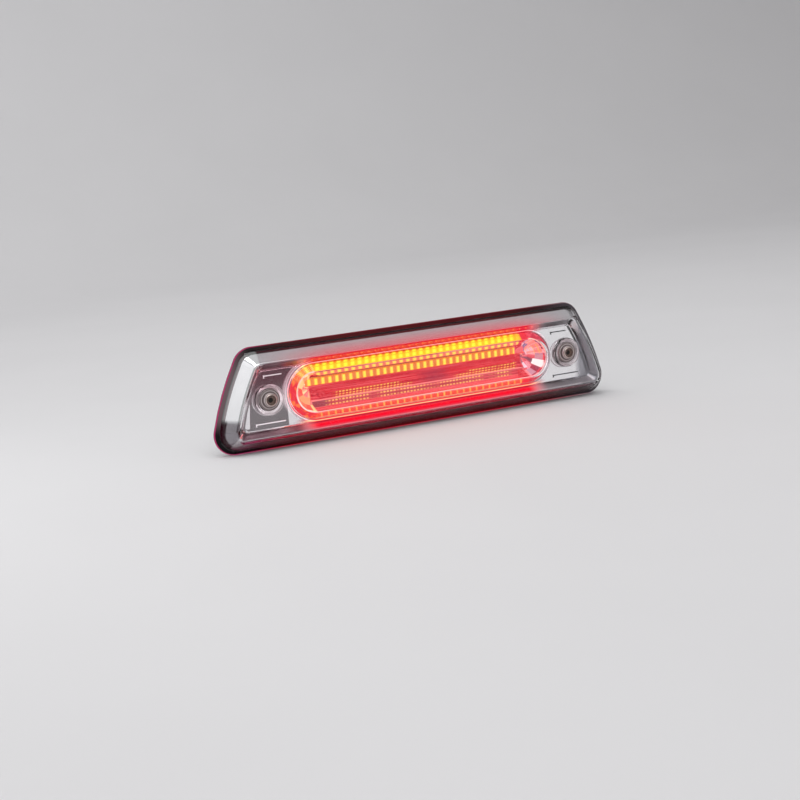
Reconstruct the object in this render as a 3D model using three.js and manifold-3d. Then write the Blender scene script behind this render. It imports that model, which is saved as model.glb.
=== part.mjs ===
// Cab-mounted centre brake and cargo lamp, in millimetres.
// X runs along the lamp, -Y points out of the lens, Z is up.
// The origin is the middle of the seat plane, where the rear gasket meets the cab.
// A depth d is measured forwards from the seat plane, so y = -d.
import * as THREE from "three";
import { mergeVertices } from "three/addons/utils/BufferGeometryUtils.js";
import Module from "manifold-3d";

const wasm = await Module();
wasm.setup();

// Driving dimensions of the trapezoid outline.
const HALF_HEIGHT = 43;
const HALF_WIDTH_BOTTOM = 195;
const HALF_WIDTH_TOP = 160;
const CORNER_RADIUS = 17;
const SIDE_BOW = 1.7;
const CORNER_STEPS = 7;
const SIDE_STEPS = 4;

// The raised window: two half circles joined by straight lines.
const WINDOW_RADIUS = 24;
const WINDOW_CENTRE_X = 101.5;
const WINDOW_CENTRE_Z = 0.8;
const WINDOW_STEPS = 16;

// Mounting screws and their wells.
const SCREW_X = 141.5;
const SCREW_TIP = -14;
const SCREW_SHANK_RADIUS = 2.9;
const RECESS_RADIUS = 2.9;
const RECESS_SWING = 0.45;
const WELL_RADIUS = 12.8;
const WELL_FLOOR = 17.4;
const WELL_TOP = 20.6;
const COUNTERBORE_RADIUS = 9.6;
const SLEEVE_HOLE_RADIUS = 5.2;

// Depths of the main layers.
const GASKET_DEPTH = 1.5;
const PLATE_BACK = 1.6;
const PLATE_FRONT = 3.4;
const LENS_EDGE = 3.6;
const LENS_FLOOR = 18;
const LENS_FLOOR_BACK = 15.9;
const BEZEL_FLOOR = 15.2;
const BEZEL_FLOOR_BACK = 13.4;
const REFLECTOR_BACK = 2.4;
const BOARD_BACK = 0.4;
const BOARD_FRONT = 2;
const TUB_BACK = -20;
const WALL = 2;

// Brake light row and cargo light row.
const BRAKE_Z = 6.8;
const BRAKE_COUNT = 33;
const BRAKE_PITCH = (2 * WINDOW_CENTRE_X) / (BRAKE_COUNT - 1);
const CARGO_Z = -11.7;
const CARGO_COUNT = 8;
const CARGO_PITCH = 25;

// Driver board behind the reflector.
const DRIVER_X = -30;
const DRIVER_FRONT = -8;
const DRIVER_BACK = -9.6;
const DRIVER_SOLDER_SIDE = DRIVER_BACK - 0.1;
const HEADER_X = -72;
const VENT_X = 70;

const root = new THREE.Group();

// ---------- solids ----------

function solid(geometry) {
  const plain = geometry.index ? geometry.toNonIndexed() : geometry.clone();
  plain.deleteAttribute("normal");
  plain.deleteAttribute("uv");
  const merged = mergeVertices(plain, 1e-4);
  const triVerts = new Uint32Array(merged.index.array);
  const vertProperties = new Float32Array(merged.attributes.position.array);
  if (signedVolume(vertProperties, triVerts) < 0) {
    for (let i = 0; i < triVerts.length; i += 3) {
      [triVerts[i + 1], triVerts[i + 2]] = [triVerts[i + 2], triVerts[i + 1]];
    }
  }
  return new wasm.Manifold(new wasm.Mesh({ numProp: 3, vertProperties, triVerts }));
}

function signedVolume(points, triangles) {
  const corner = (index) => new THREE.Vector3().fromArray(points, 3 * index);
  let six = 0;
  for (let i = 0; i < triangles.length; i += 3) {
    const [a, b, c] = [0, 1, 2].map((k) => corner(triangles[i + k]));
    six += a.dot(b.cross(c));
  }
  return six;
}

function geometryOf(manifold) {
  const mesh = manifold.getMesh();
  const points = new Float32Array(mesh.numVert * 3);
  for (let i = 0; i < mesh.numVert; i += 1) {
    points.set(mesh.vertProperties.subarray(i * mesh.numProp, i * mesh.numProp + 3), i * 3);
  }
  const geometry = new THREE.BufferGeometry();
  geometry.setAttribute("position", new THREE.BufferAttribute(points, 3));
  geometry.setIndex(new THREE.BufferAttribute(new Uint32Array(mesh.triVerts), 1));
  return geometry;
}

function union(solids) {
  return solids.reduce((whole, next) => whole.add(next));
}

function cut(whole, solids) {
  return solids.reduce((left, next) => left.subtract(next), whole);
}

// A closed skin through rings of equal length, each a list of [x, z] points at one depth.
function loft(rings) {
  const count = rings[0].points.length;
  const vertices = [];
  for (const ring of rings) {
    for (const [x, z] of ring.points) {
      vertices.push(x, -ring.depth, z);
    }
  }
  const faces = [];
  for (let r = 0; r < rings.length - 1; r += 1) {
    for (let i = 0; i < count; i += 1) {
      const a = r * count + i;
      const b = r * count + ((i + 1) % count);
      faces.push(a, b, a + count, b, b + count, a + count);
    }
  }
  const cap = (ring) => {
    const flat = ring.points.map(([x, z]) => new THREE.Vector2(x, z));
    return THREE.ShapeUtils.triangulateShape(flat, []);
  };
  const last = (rings.length - 1) * count;
  for (const [a, b, c] of cap(rings[0])) {
    faces.push(a, c, b);
  }
  for (const [a, b, c] of cap(rings[rings.length - 1])) {
    faces.push(last + a, last + b, last + c);
  }
  const geometry = new THREE.BufferGeometry();
  geometry.setAttribute("position", new THREE.BufferAttribute(new Float32Array(vertices), 3));
  geometry.setIndex(faces);
  return solid(geometry);
}

// A box given by its centre x, z, its width and height, and its back and front depth.
function box(x, z, width, height, back, front) {
  const geometry = new THREE.BoxGeometry(width, front - back, height);
  geometry.translate(x, -(front + back) / 2, z);
  return solid(geometry);
}

// A body turned about the line x, z, from [radius, depth] points that start and end on it.
function turned(x, z, profile, segments = 28) {
  const points = profile.map(([radius, depth]) => new THREE.Vector2(radius, -depth));
  const geometry = new THREE.LatheGeometry(points, segments);
  geometry.translate(x, 0, z);
  return solid(geometry);
}

function disc(x, z, radius, back, front, segments = 28) {
  const profile = [[0, back], [radius, back], [radius, front], [0, front]];
  return turned(x, z, profile, segments);
}

function tube(x, z, inner, outer, back, front, segments = 28) {
  const profile = [[inner, back], [outer, back], [outer, front], [inner, front], [inner, back]];
  return turned(x, z, profile, segments);
}

function addMesh(name, manifold, color, roughness, metalness, extra = {}) {
  const material = new THREE.MeshStandardMaterial({ color, roughness, metalness, ...extra });
  const mesh = new THREE.Mesh(geometryOf(manifold), material);
  mesh.name = name;
  root.add(mesh);
}

// ---------- outlines ----------

// Corners of the trapezoid after every side has moved inwards by inset.
function trapezoidCorners(inset) {
  const run = HALF_WIDTH_BOTTOM - HALF_WIDTH_TOP;
  const slant = Math.hypot(run, 2 * HALF_HEIGHT);
  const shift = (inset * slant) / (2 * HALF_HEIGHT);
  const halfWidth = (z) =>
    HALF_WIDTH_BOTTOM - (run * (z + HALF_HEIGHT)) / (2 * HALF_HEIGHT) - shift;
  const top = HALF_HEIGHT - inset;
  return [
    [-halfWidth(-top), -top],
    [halfWidth(-top), -top],
    [halfWidth(top), top],
    [-halfWidth(top), top],
  ].map(([x, z]) => new THREE.Vector2(x, z));
}

// Outline of the lamp moved inwards by inset, with round corners and slightly bowed ends.
function outline(inset) {
  const corners = trapezoidCorners(inset);
  const radius = Math.max(CORNER_RADIUS - inset * 0.8, 4);
  const points = [];
  corners.forEach((corner, i) => {
    const before = corners[(i + 3) % 4].clone().sub(corner).normalize();
    const after = corners[(i + 1) % 4].clone().sub(corner).normalize();
    const half = before.angleTo(after) / 2;
    const middle = before.clone().add(after).normalize();
    const centre = corner.clone().addScaledVector(middle, radius / Math.sin(half));
    const sweep = Math.PI - 2 * half;
    for (let k = 0; k <= CORNER_STEPS; k += 1) {
      const turn = -sweep / 2 + (sweep * k) / CORNER_STEPS;
      const arm = middle.clone().multiplyScalar(-radius).rotateAround(new THREE.Vector2(), turn);
      points.push(centre.clone().add(arm));
    }
    if (i % 2 === 1) {
      const start = points[points.length - 1];
      const end = nextCornerStart(corners, i, radius);
      for (let k = 1; k < SIDE_STEPS; k += 1) {
        const share = k / SIDE_STEPS;
        const point = start.clone().lerp(end, share);
        point.x += Math.sign(point.x) * SIDE_BOW * (1 - (2 * share - 1) ** 2);
        points.push(point);
      }
    }
  });
  return points.map((point) => [point.x, point.y]);
}

// Where the round of the corner after corner i starts.
function nextCornerStart(corners, i, radius) {
  const next = corners[(i + 1) % 4];
  const back = corners[i].clone().sub(next).normalize();
  const on = corners[(i + 2) % 4].clone().sub(next).normalize();
  const half = back.angleTo(on) / 2;
  return next.clone().addScaledVector(back, radius / Math.tan(half));
}

function frame(profile) {
  return loft(profile.map(([inset, depth]) => ({ points: outline(inset), depth })));
}

// Outline of the raised window moved inwards by inset.
function windowOutline(inset) {
  const radius = WINDOW_RADIUS - inset;
  const points = [];
  for (const side of [1, -1]) {
    for (let k = 0; k <= WINDOW_STEPS; k += 1) {
      const angle = -Math.PI / 2 + (Math.PI * k) / WINDOW_STEPS;
      const x = side * (WINDOW_CENTRE_X + radius * Math.cos(angle));
      points.push([x, WINDOW_CENTRE_Z + side * radius * Math.sin(angle)]);
    }
  }
  return points;
}

function pill(profile) {
  return loft(profile.map(([inset, depth]) => ({ points: windowOutline(inset), depth })));
}

// A bar with round ends along X, given by its middle height z and half its height.
function roundBar(halfLength, z, halfHeight, back, front) {
  const steps = 8;
  const points = [];
  for (const side of [1, -1]) {
    for (let k = 0; k <= steps; k += 1) {
      const angle = -Math.PI / 2 + (Math.PI * k) / steps;
      const x = side * (halfLength - halfHeight + halfHeight * Math.cos(angle));
      points.push([x, z + side * halfHeight * Math.sin(angle)]);
    }
  }
  return loft([{ points, depth: back }, { points, depth: front }]);
}

// ---------- casing ----------

const BEZEL_POSTS = [
  [-130, 17],
  [130, 17],
  [-130, -16],
  [130, -16],
];
const DRIVER_POSTS = [
  [DRIVER_X - 20, 13],
  [DRIVER_X + 52, -12],
];

function rearHousing() {
  const plate = frame([[0.7, PLATE_BACK], [0.7, PLATE_FRONT]]);
  const tub = pill([[2.6, TUB_BACK], [1.8, TUB_BACK + 0.8], [1.8, PLATE_BACK + 0.5]]);
  const hollow = pill([[4.2, TUB_BACK + WALL], [4.2, PLATE_FRONT + 1]]);
  const posts = DRIVER_POSTS.map(([x, z]) =>
    disc(x, z, 3.2, TUB_BACK + 1, DRIVER_BACK - 0.2, 16),
  );
  const ribs = [-96, 20, 96].map((x) => box(x, WINDOW_CENTRE_Z, 1.6, 41, TUB_BACK + 1, -16));
  const holes = [
    ...[-SCREW_X, SCREW_X].map((x) => disc(x, 0, SLEEVE_HOLE_RADIUS, 0, 5)),
    ...BEZEL_POSTS.map(([x, z]) => disc(x, z, 1.5, 0, 5, 12)),
    ...DRIVER_POSTS.map(([x, z]) => disc(x, z, 1.15, TUB_BACK + 3, DRIVER_BACK + 1, 12)),
    box(HEADER_X, WINDOW_CENTRE_Z, 17.8, 8.8, TUB_BACK - 1, TUB_BACK + WALL + 1),
    disc(VENT_X, WINDOW_CENTRE_Z, 2.7, TUB_BACK - 1, TUB_BACK + WALL + 1, 16),
  ];
  return cut(union([cut(plate.add(tub), [hollow]), ...posts, ...ribs]), holes);
}

function rearGasket() {
  const outer = frame([[2.6, 0], [2.6, GASKET_DEPTH]]);
  return outer.subtract(frame([[9.6, -1], [9.6, GASKET_DEPTH + 1]]));
}

function lensSeal() {
  const outer = frame([[2.9, 3.5], [3.4, 4.8]]);
  return outer.subtract(frame([[4.8, 3], [4.8, 5.5]]));
}

function outerLens() {
  const shell = frame([
    [0, LENS_EDGE],
    [0, 4.8],
    [0.6, 5.5],
    [3.1, 7.8],
    [10.5, 21.4],
    [11.3, 22.5],
    [12.4, 22.9],
    [14.3, 22.9],
    [15.4, 22.3],
    [19.5, LENS_FLOOR],
  ]);
  const bubble = pill([[0, 17], [0, 18.6], [0.6, 19.4], [6, 24.3], [6.8, 24.8]]);
  const shellHollow = frame([
    [2.3, LENS_EDGE - 1],
    [2.3, LENS_EDGE + 0.2],
    [4.9, 6.6],
    [12.3, 20.6],
    [14.2, 20.9],
    [18.5, LENS_FLOOR_BACK],
  ]);
  const bubbleHollow = pill([[2.1, 15], [2.1, 17.8], [7.3, 22.5]]);
  const wellProfile = [
    [0, 17],
    [WELL_RADIUS, 17],
    [WELL_RADIUS, WELL_TOP - 0.6],
    [WELL_RADIUS - 0.6, WELL_TOP],
    [0, WELL_TOP],
  ];
  const counterbore = [
    [0, WELL_FLOOR],
    [COUNTERBORE_RADIUS, WELL_FLOOR],
    [COUNTERBORE_RADIUS + 0.6, WELL_TOP + 0.4],
    [0, WELL_TOP + 0.4],
  ];
  const wells = [-SCREW_X, SCREW_X].flatMap((x) => [
    turned(x, 0, wellProfile, 36),
    disc(x, 0, SLEEVE_HOLE_RADIUS + WALL, 3.7, 17),
  ]);
  const wellHoles = [-SCREW_X, SCREW_X].flatMap((x) => [
    turned(x, 0, counterbore, 36),
    disc(x, 0, SLEEVE_HOLE_RADIUS, 3, 18),
  ]);
  const hollow = shellHollow.add(bubbleHollow);
  return cut(union([shell.add(bubble).subtract(hollow), ...wells]), wellHoles);
}

// Thin raised lines on the bezel's end pads, each with a small tick at its inner end.
function padRibs() {
  const high = BEZEL_FLOOR + 0.5;
  const low = BEZEL_FLOOR - 0.4;
  return [-1, 1].flatMap((side) => [
    box(side * 136, 19.2, 16, 0.7, low, high),
    box(side * 128.2, 18.2, 0.7, 2, low, high),
    box(side * 141, -19.4, 26, 0.7, low, high),
    box(side * 128.2, -18.4, 0.7, 2, low, high),
  ]);
}

function chromeBezel() {
  const shell = frame([
    [5.4, 3.8],
    [5.4, 6.6],
    [12.6, 20],
    [13.3, 20.4],
    [13.9, 20.4],
    [18.4, BEZEL_FLOOR],
  ]);
  const hollow = frame([[7.2, 3], [7.2, 6.1], [13.7, 17.9], [17.5, BEZEL_FLOOR_BACK]]);
  const opening = pill([[2, 10], [2, 18]]);
  const posts = BEZEL_POSTS.map(([x, z]) => disc(x, z, 3.2, PLATE_FRONT + 0.2, 14, 16));
  const pilots = BEZEL_POSTS.map(([x, z]) => disc(x, z, 1.15, 3, 10.5, 12));
  const wells = [-SCREW_X, SCREW_X].flatMap((x) => [
    disc(x, 0, 8, 12, 17),
    tube(x, 0, 10.4, 11.6, BEZEL_FLOOR - 0.8, 17, 36),
  ]);
  const body = union([cut(shell, [hollow, opening]), ...posts, ...padRibs()]);
  return cut(body, [...pilots, ...wells]);
}

// ---------- optics ----------

// The hollow of the reflector between its two end domes, as a section in z and depth.
function troughSection() {
  const front = 23;
  const top = WINDOW_CENTRE_Z + 16.4;
  const bottom = WINDOW_CENTRE_Z - 16.4;
  const upperFlutes = [[16.9, 19.4], [16, 18.9], [15.9, 17.2], [15.1, 16.7], [15, 14.4], [13, 12.6]];
  const lightSlot = [[12.6, 8], [11.2, 5.2], [2.4, 5.2]];
  const shelf = [[0.6, 5.8], [-1, 7.2], [-2.2, 9.4], [-2.6, 11.6]];
  const lowerFlutes = [[-4.2, 10.4], [-5.4, 10.8], [-6.8, 9.2], [-7.9, 9.4], [-7.9, 5]];
  return [
    [top, front],
    [top, 20.5],
    ...upperFlutes,
    ...lightSlot,
    ...shelf,
    ...lowerFlutes,
    [bottom, 5],
    [bottom, front],
  ];
}

function trough(halfLength) {
  const shape = new THREE.Shape(troughSection().map(([z, depth]) => new THREE.Vector2(-depth, z)));
  const geometry = new THREE.ExtrudeGeometry(shape, { depth: 2 * halfLength, bevelEnabled: false });
  const place = new THREE.Matrix4().makeBasis(
    new THREE.Vector3(0, 1, 0),
    new THREE.Vector3(0, 0, 1),
    new THREE.Vector3(1, 0, 0),
  );
  place.setPosition(-halfLength, 0, 0);
  return solid(geometry.applyMatrix4(place));
}

function endDome(side) {
  const profile = [
    [0, 5.2],
    [5, 5.8],
    [9.4, 7.8],
    [13, 11.2],
    [15.4, 15.6],
    [16.4, 20],
    [16.4, 23],
    [0, 23],
  ];
  return turned(side * WINDOW_CENTRE_X, WINDOW_CENTRE_Z, profile, 20);
}

const LED_SCREWS = [
  [-88, 12.3],
  [88, 12.3],
  [-88, -5.9],
  [88, -5.9],
];

function reflector() {
  const body = pill([[5, REFLECTOR_BACK], [5, 12]]);
  const flange = pill([[0.6, 11.4], [0.6, 13.1]]);
  const ring = pill([[2.7, 12.5], [2.7, 17], [7.2, 21.4], [7.6, 21.6]]);
  const slots = [
    box(0, BRAKE_Z, 2 * WINDOW_CENTRE_X + 7, 7.6, 1, 8),
    roundBar(103.4, CARGO_Z, 3.7, 1, 10),
    ...LED_SCREWS.map(([x, z]) => disc(x, z, 1, 1, 4.6, 10)),
  ];
  const hollows = [trough(WINDOW_CENTRE_X), endDome(-1), endDome(1)];
  return cut(union([body, flange, ring]), [...hollows, ...slots]);
}

// Clear bar in front of the brake lights, with one round flute for each of them.
function brakeOptic() {
  const back = BOARD_FRONT + 1.6;
  const front = BOARD_FRONT + 3.6;
  const crown = 1.2;
  const height = 6.6;
  const shape = new THREE.Shape();
  const left = -WINDOW_CENTRE_X - BRAKE_PITCH / 2;
  shape.moveTo(left, back);
  shape.lineTo(-left, back);
  shape.lineTo(-left, front);
  const steps = 3;
  for (let k = BRAKE_COUNT * steps - 1; k >= 0; k -= 1) {
    const x = left + (k * BRAKE_PITCH) / steps;
    const phase = (k % steps) / steps;
    shape.lineTo(x, front + crown * Math.sin(Math.PI * phase));
  }
  const geometry = new THREE.ExtrudeGeometry(shape, { depth: height, bevelEnabled: false });
  const place = new THREE.Matrix4().makeBasis(
    new THREE.Vector3(1, 0, 0),
    new THREE.Vector3(0, -1, 0),
    new THREE.Vector3(0, 0, 1),
  );
  place.setPosition(0, 0, BRAKE_Z - height / 2);
  return solid(geometry.applyMatrix4(place));
}

function cargoOptic() {
  return roundBar(102.6, CARGO_Z, 3.1, 3.6, 9);
}

// ---------- light boards ----------

function brakeBoard() {
  const board = box(0, 7.6, 214, 12.2, BOARD_BACK, BOARD_FRONT);
  const holes = LED_SCREWS.slice(0, 2).map(([x, z]) => disc(x, z, 1.1, 0, 3, 10));
  return cut(board, holes);
}

function cargoBoard() {
  const board = box(0, -10.6, 204, 11.8, BOARD_BACK, BOARD_FRONT);
  const holes = LED_SCREWS.slice(2).map(([x, z]) => disc(x, z, 1.1, 0, 3, 10));
  return cut(board, holes);
}

// Light packages joined by the thin carrier that they are placed on.
function lightRow(count, pitch, z, size) {
  const back = BOARD_FRONT + 0.05;
  const carrier = box(0, z, (count - 1) * pitch + size, 1.4, back, BOARD_FRONT + 0.3);
  const packages = Array.from({ length: count }, (_, i) =>
    box((i - (count - 1) / 2) * pitch, z, size, size, back, BOARD_FRONT + 1.2),
  );
  return union([carrier, ...packages]);
}

// ---------- driver board ----------

function driverBoard() {
  const board = box(DRIVER_X, WINDOW_CENTRE_Z, 120, 34, DRIVER_BACK, DRIVER_FRONT);
  const holes = DRIVER_POSTS.map(([x, z]) => disc(x, z, 1.5, -12, -6, 12));
  return cut(board, holes);
}

function regulator(x, z) {
  const body = box(x, z, 9, 8, -12.2, DRIVER_SOLDER_SIDE);
  const tab = box(x, z + 4.8, 8, 2.4, -10.5, DRIVER_SOLDER_SIDE);
  return body.add(tab);
}

function capacitor(x, z) {
  const profile = [
    [0, -16.6],
    [3.4, -16.6],
    [4, -16],
    [4, -11.6],
    [3.7, -11.3],
    [4, -11],
    [4, DRIVER_SOLDER_SIDE],
    [0, DRIVER_SOLDER_SIDE],
  ];
  return turned(x, z, profile, 20);
}

// Flat lead between a light board and the driver board.
function ribbonLead(from, to) {
  const path = new THREE.CatmullRomCurve3([
    new THREE.Vector3(...from),
    new THREE.Vector3(from[0], from[1] + 2.4, from[2]),
    new THREE.Vector3(to[0], to[1] - 2.4, to[2]),
    new THREE.Vector3(...to),
  ]);
  const section = new THREE.Shape([
    new THREE.Vector2(-0.45, -2.2),
    new THREE.Vector2(0.45, -2.2),
    new THREE.Vector2(0.45, 2.2),
    new THREE.Vector2(-0.45, 2.2),
  ]);
  const options = { steps: 12, extrudePath: path, bevelEnabled: false };
  return solid(new THREE.ExtrudeGeometry(section, options));
}

// ---------- electrical inlet and vent ----------

const TERMINAL_OFFSETS = { brake: -5.5, ground: 0, cargo: 5.5 };

function connectorHeader() {
  const z = WINDOW_CENTRE_Z;
  const parts = [
    box(HEADER_X, z, 26, 17, -21.8, TUB_BACK - 0.2),
    box(HEADER_X, z, 22, 13, -33, -21),
    box(HEADER_X, z, 17.2, 8.2, -21, -16.4),
    box(HEADER_X, z + 7, 5, 2.4, -29, -26.5),
  ];
  const holes = [
    box(HEADER_X, z, 18.8, 9.8, -34, -22.8),
    ...Object.values(TERMINAL_OFFSETS).map((x) => box(HEADER_X + x, z, 2, 1.4, -24, -15)),
  ];
  return cut(union(parts), holes);
}

function terminal(offset) {
  const blade = box(HEADER_X + offset, WINDOW_CENTRE_Z, 1.5, 0.8, -27.4, DRIVER_BACK - 0.15);
  return blade.add(box(HEADER_X + offset, WINDOW_CENTRE_Z, 1, 0.6, -28, -27));
}

function ventCap() {
  const profile = [
    [0, -18.2],
    [2.4, -18.2],
    [2.4, -20.6],
    [5.2, -20.6],
    [5.6, -21.2],
    [5.6, -22.6],
    [4.8, -23.4],
    [0, -23.4],
  ];
  return turned(VENT_X, WINDOW_CENTRE_Z, profile, 20);
}

// ---------- fasteners ----------

// A small screw on the line x, z. Its tip may be in front of its head or behind it.
function panScrew(x, z, head, shankRadius, tip) {
  const profile = [
    [0, head.from],
    [head.radius, head.from],
    [head.radius, head.to],
    [shankRadius, head.to],
    [shankRadius, tip - 0.8],
    [0, tip],
  ];
  return turned(x, z, profile, 16);
}

function sixLobe(x, z, back, front) {
  const points = Array.from({ length: 24 }, (_, i) => {
    const angle = (2 * Math.PI * i) / 24;
    const radius = RECESS_RADIUS + RECESS_SWING * Math.cos(6 * angle);
    return [x + radius * Math.cos(angle), z + radius * Math.sin(angle)];
  });
  return loft([{ points, depth: back }, { points, depth: front }]);
}

function mountingScrew(x) {
  const profile = [
    [0, SCREW_TIP],
    [SCREW_SHANK_RADIUS - 1, SCREW_TIP],
    [SCREW_SHANK_RADIUS, SCREW_TIP + 1.4],
    [SCREW_SHANK_RADIUS, 19.95],
    [6.3, 19.95],
    [6.3, 20.9],
    [5.7, 21.3],
    [5.3, 22.6],
    [4.3, 23.3],
    [0, 23.5],
  ];
  return turned(x, 0, profile, 32).subtract(sixLobe(x, 0, 21, 24));
}

// ---------- assembly ----------

const BLACK = "#111214";
const CHROME = "#dfe0e2";
const STEEL = "#b9bcc0";
const BOARD = "#e9ebe6";

addMesh("rear_housing", rearHousing(), BLACK, 0.55, 0);
addMesh("rear_gasket", rearGasket(), "#1b1c1e", 0.95, 0);
addMesh("lens_seal", lensSeal(), "#0c0c0d", 0.7, 0);
addMesh("outer_lens", outerLens(), "#ffffff", 0.05, 0, { transparent: true, opacity: 0.3 });
addMesh("chrome_bezel", chromeBezel(), CHROME, 0.12, 1);
addMesh("reflector", reflector(), CHROME, 0.08, 1);
addMesh("brake_optic", brakeOptic(), "#ff5a3c", 0.05, 0, { transparent: true, opacity: 0.6 });
addMesh("cargo_optic", cargoOptic(), "#f4f4f4", 0.05, 0, { transparent: true, opacity: 0.6 });
addMesh("brake_led_board", brakeBoard(), BOARD, 0.6, 0);
addMesh("cargo_led_board", cargoBoard(), BOARD, 0.6, 0);
addMesh("brake_leds", lightRow(BRAKE_COUNT, BRAKE_PITCH, BRAKE_Z, 3), "#ff3a1c", 0.4, 0);
addMesh("cargo_leds", lightRow(CARGO_COUNT, CARGO_PITCH, CARGO_Z, 5), "#f6e9a8", 0.4, 0);

addMesh("driver_board", driverBoard(), "#1f5c3a", 0.5, 0);
addMesh("brake_regulator", regulator(-10, -4), "#17181a", 0.5, 0);
addMesh("cargo_regulator", regulator(8, -4), "#17181a", 0.5, 0);
addMesh("brake_capacitor", capacitor(-34, 6), "#22262e", 0.35, 0.3);
addMesh("cargo_capacitor", capacitor(-34, -6), "#22262e", 0.35, 0.3);
addMesh("brake_lead", ribbonLead([2, -0.2, 9], [-4, 7.8, 9]), "#8c1a1a", 0.6, 0);
addMesh("cargo_lead", ribbonLead([14, -0.2, -10], [8, 7.8, -10]), "#e4e4e0", 0.6, 0);

addMesh("connector_header", connectorHeader(), "#222326", 0.5, 0);
for (const [name, offset] of Object.entries(TERMINAL_OFFSETS)) {
  addMesh(`terminal_${name}`, terminal(offset), "#c9b27a", 0.3, 1);
}
addMesh("vent_cap", ventCap(), "#2a2b2e", 0.6, 0);
addMesh("vent_membrane", disc(VENT_X, WINDOW_CENTRE_Z, 4.2, -17.8, -17.2, 20), "#f2f2ee", 0.9, 0);

BEZEL_POSTS.forEach(([x, z], i) => {
  const screw = panScrew(x, z, { radius: 2.8, from: 0.3, to: 1.5 }, 1, 9.5);
  addMesh(`bezel_screw_${i + 1}`, screw, STEEL, 0.35, 1);
});
LED_SCREWS.forEach(([x, z], i) => {
  const screw = panScrew(x, z, { radius: 1.9, from: -0.7, to: 0.3 }, 0.8, 4.2);
  addMesh(`board_screw_${i + 1}`, screw, STEEL, 0.35, 1);
});
DRIVER_POSTS.forEach(([x, z], i) => {
  const screw = panScrew(x, z, { radius: 2.6, from: -6.6, to: DRIVER_FRONT + 0.1 }, 1, -15);
  addMesh(`driver_screw_${i + 1}`, screw, STEEL, 0.35, 1);
});

for (const [side, x] of [["left", -SCREW_X], ["right", SCREW_X]]) {
  addMesh(`screw_sleeve_${side}`, tube(x, 0, 3.5, 4.9, 0, 17.3, 24), STEEL, 0.4, 1);
  addMesh(`sealing_washer_${side}`, tube(x, 0, 5.6, 9.2, 17.5, 18.5, 28), "#161617", 0.9, 0);
  addMesh(`captive_washer_${side}`, tube(x, 0, 3.3, 9, 18.6, 19.8, 28), STEEL, 0.35, 1);
  addMesh(`mounting_screw_${side}`, mountingScrew(x), STEEL, 0.3, 1);
}

export default root;
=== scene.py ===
# Looks of the cab-mounted centre brake and cargo lamp.
# Shapes are worked out in millimetres and turned into metres when a mesh is made.
# X runs along the lamp, Z is up, and a depth d is measured out of the lens, so y = -d.
import math
import random

import bmesh
import bpy
from mathutils import Matrix, Vector


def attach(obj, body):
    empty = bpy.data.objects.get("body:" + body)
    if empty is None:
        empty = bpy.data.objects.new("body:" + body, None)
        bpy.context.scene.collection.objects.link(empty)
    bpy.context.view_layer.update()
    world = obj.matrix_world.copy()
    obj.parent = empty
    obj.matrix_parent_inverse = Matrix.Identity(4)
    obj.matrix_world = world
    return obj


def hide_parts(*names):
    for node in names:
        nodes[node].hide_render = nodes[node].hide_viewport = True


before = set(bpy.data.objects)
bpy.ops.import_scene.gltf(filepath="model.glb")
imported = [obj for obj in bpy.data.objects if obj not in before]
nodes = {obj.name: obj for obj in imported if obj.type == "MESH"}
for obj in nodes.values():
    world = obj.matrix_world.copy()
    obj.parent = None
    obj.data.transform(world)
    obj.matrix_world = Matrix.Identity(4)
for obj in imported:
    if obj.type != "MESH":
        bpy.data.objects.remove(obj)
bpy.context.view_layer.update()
MM = 0.001
BLACK = (0.0, 0.0, 0.0)

# Trapezoid outline, as in the solids.
HALF_HEIGHT = 43
HALF_WIDTH_BOTTOM = 195
HALF_WIDTH_TOP = 160
CORNER_RADIUS = 17
SIDE_BOW = 1.7
SIDE_SLANT = (HALF_WIDTH_BOTTOM - HALF_WIDTH_TOP) / (2 * HALF_HEIGHT)
CORNER_STEPS = 21
SIDE_STEPS = 12
WELL_SEGMENTS = 96

# Raised window.
WINDOW_RADIUS = 24
WINDOW_X = 101.5
WINDOW_Z = 0.8

# Fasteners and lights.
SCREW_X = 141.5
BRAKE_COUNT = 33
BRAKE_PITCH = 2 * WINDOW_X / (BRAKE_COUNT - 1)
BRAKE_Z = 6.8
CARGO_COUNT = 8
CARGO_PITCH = 25
CARGO_Z = -11.7
ROW_END = 94.5

SIDES = (("left", -1), ("right", 1))


# ---------- outlines ----------


def trapezoid_corners(inset):
    """The sharp corners from bottom left, anticlockwise, moved inwards by inset."""
    run = HALF_WIDTH_BOTTOM - HALF_WIDTH_TOP
    slant = math.hypot(run, 2 * HALF_HEIGHT)
    shift = inset * slant / (2 * HALF_HEIGHT)

    def half_width(z):
        return HALF_WIDTH_BOTTOM - run * (z + HALF_HEIGHT) / (2 * HALF_HEIGHT) - shift

    top = HALF_HEIGHT - inset
    return [
        Vector((-half_width(-top), -top)),
        Vector((half_width(-top), -top)),
        Vector((half_width(top), top)),
        Vector((-half_width(top), top)),
    ]


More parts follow.
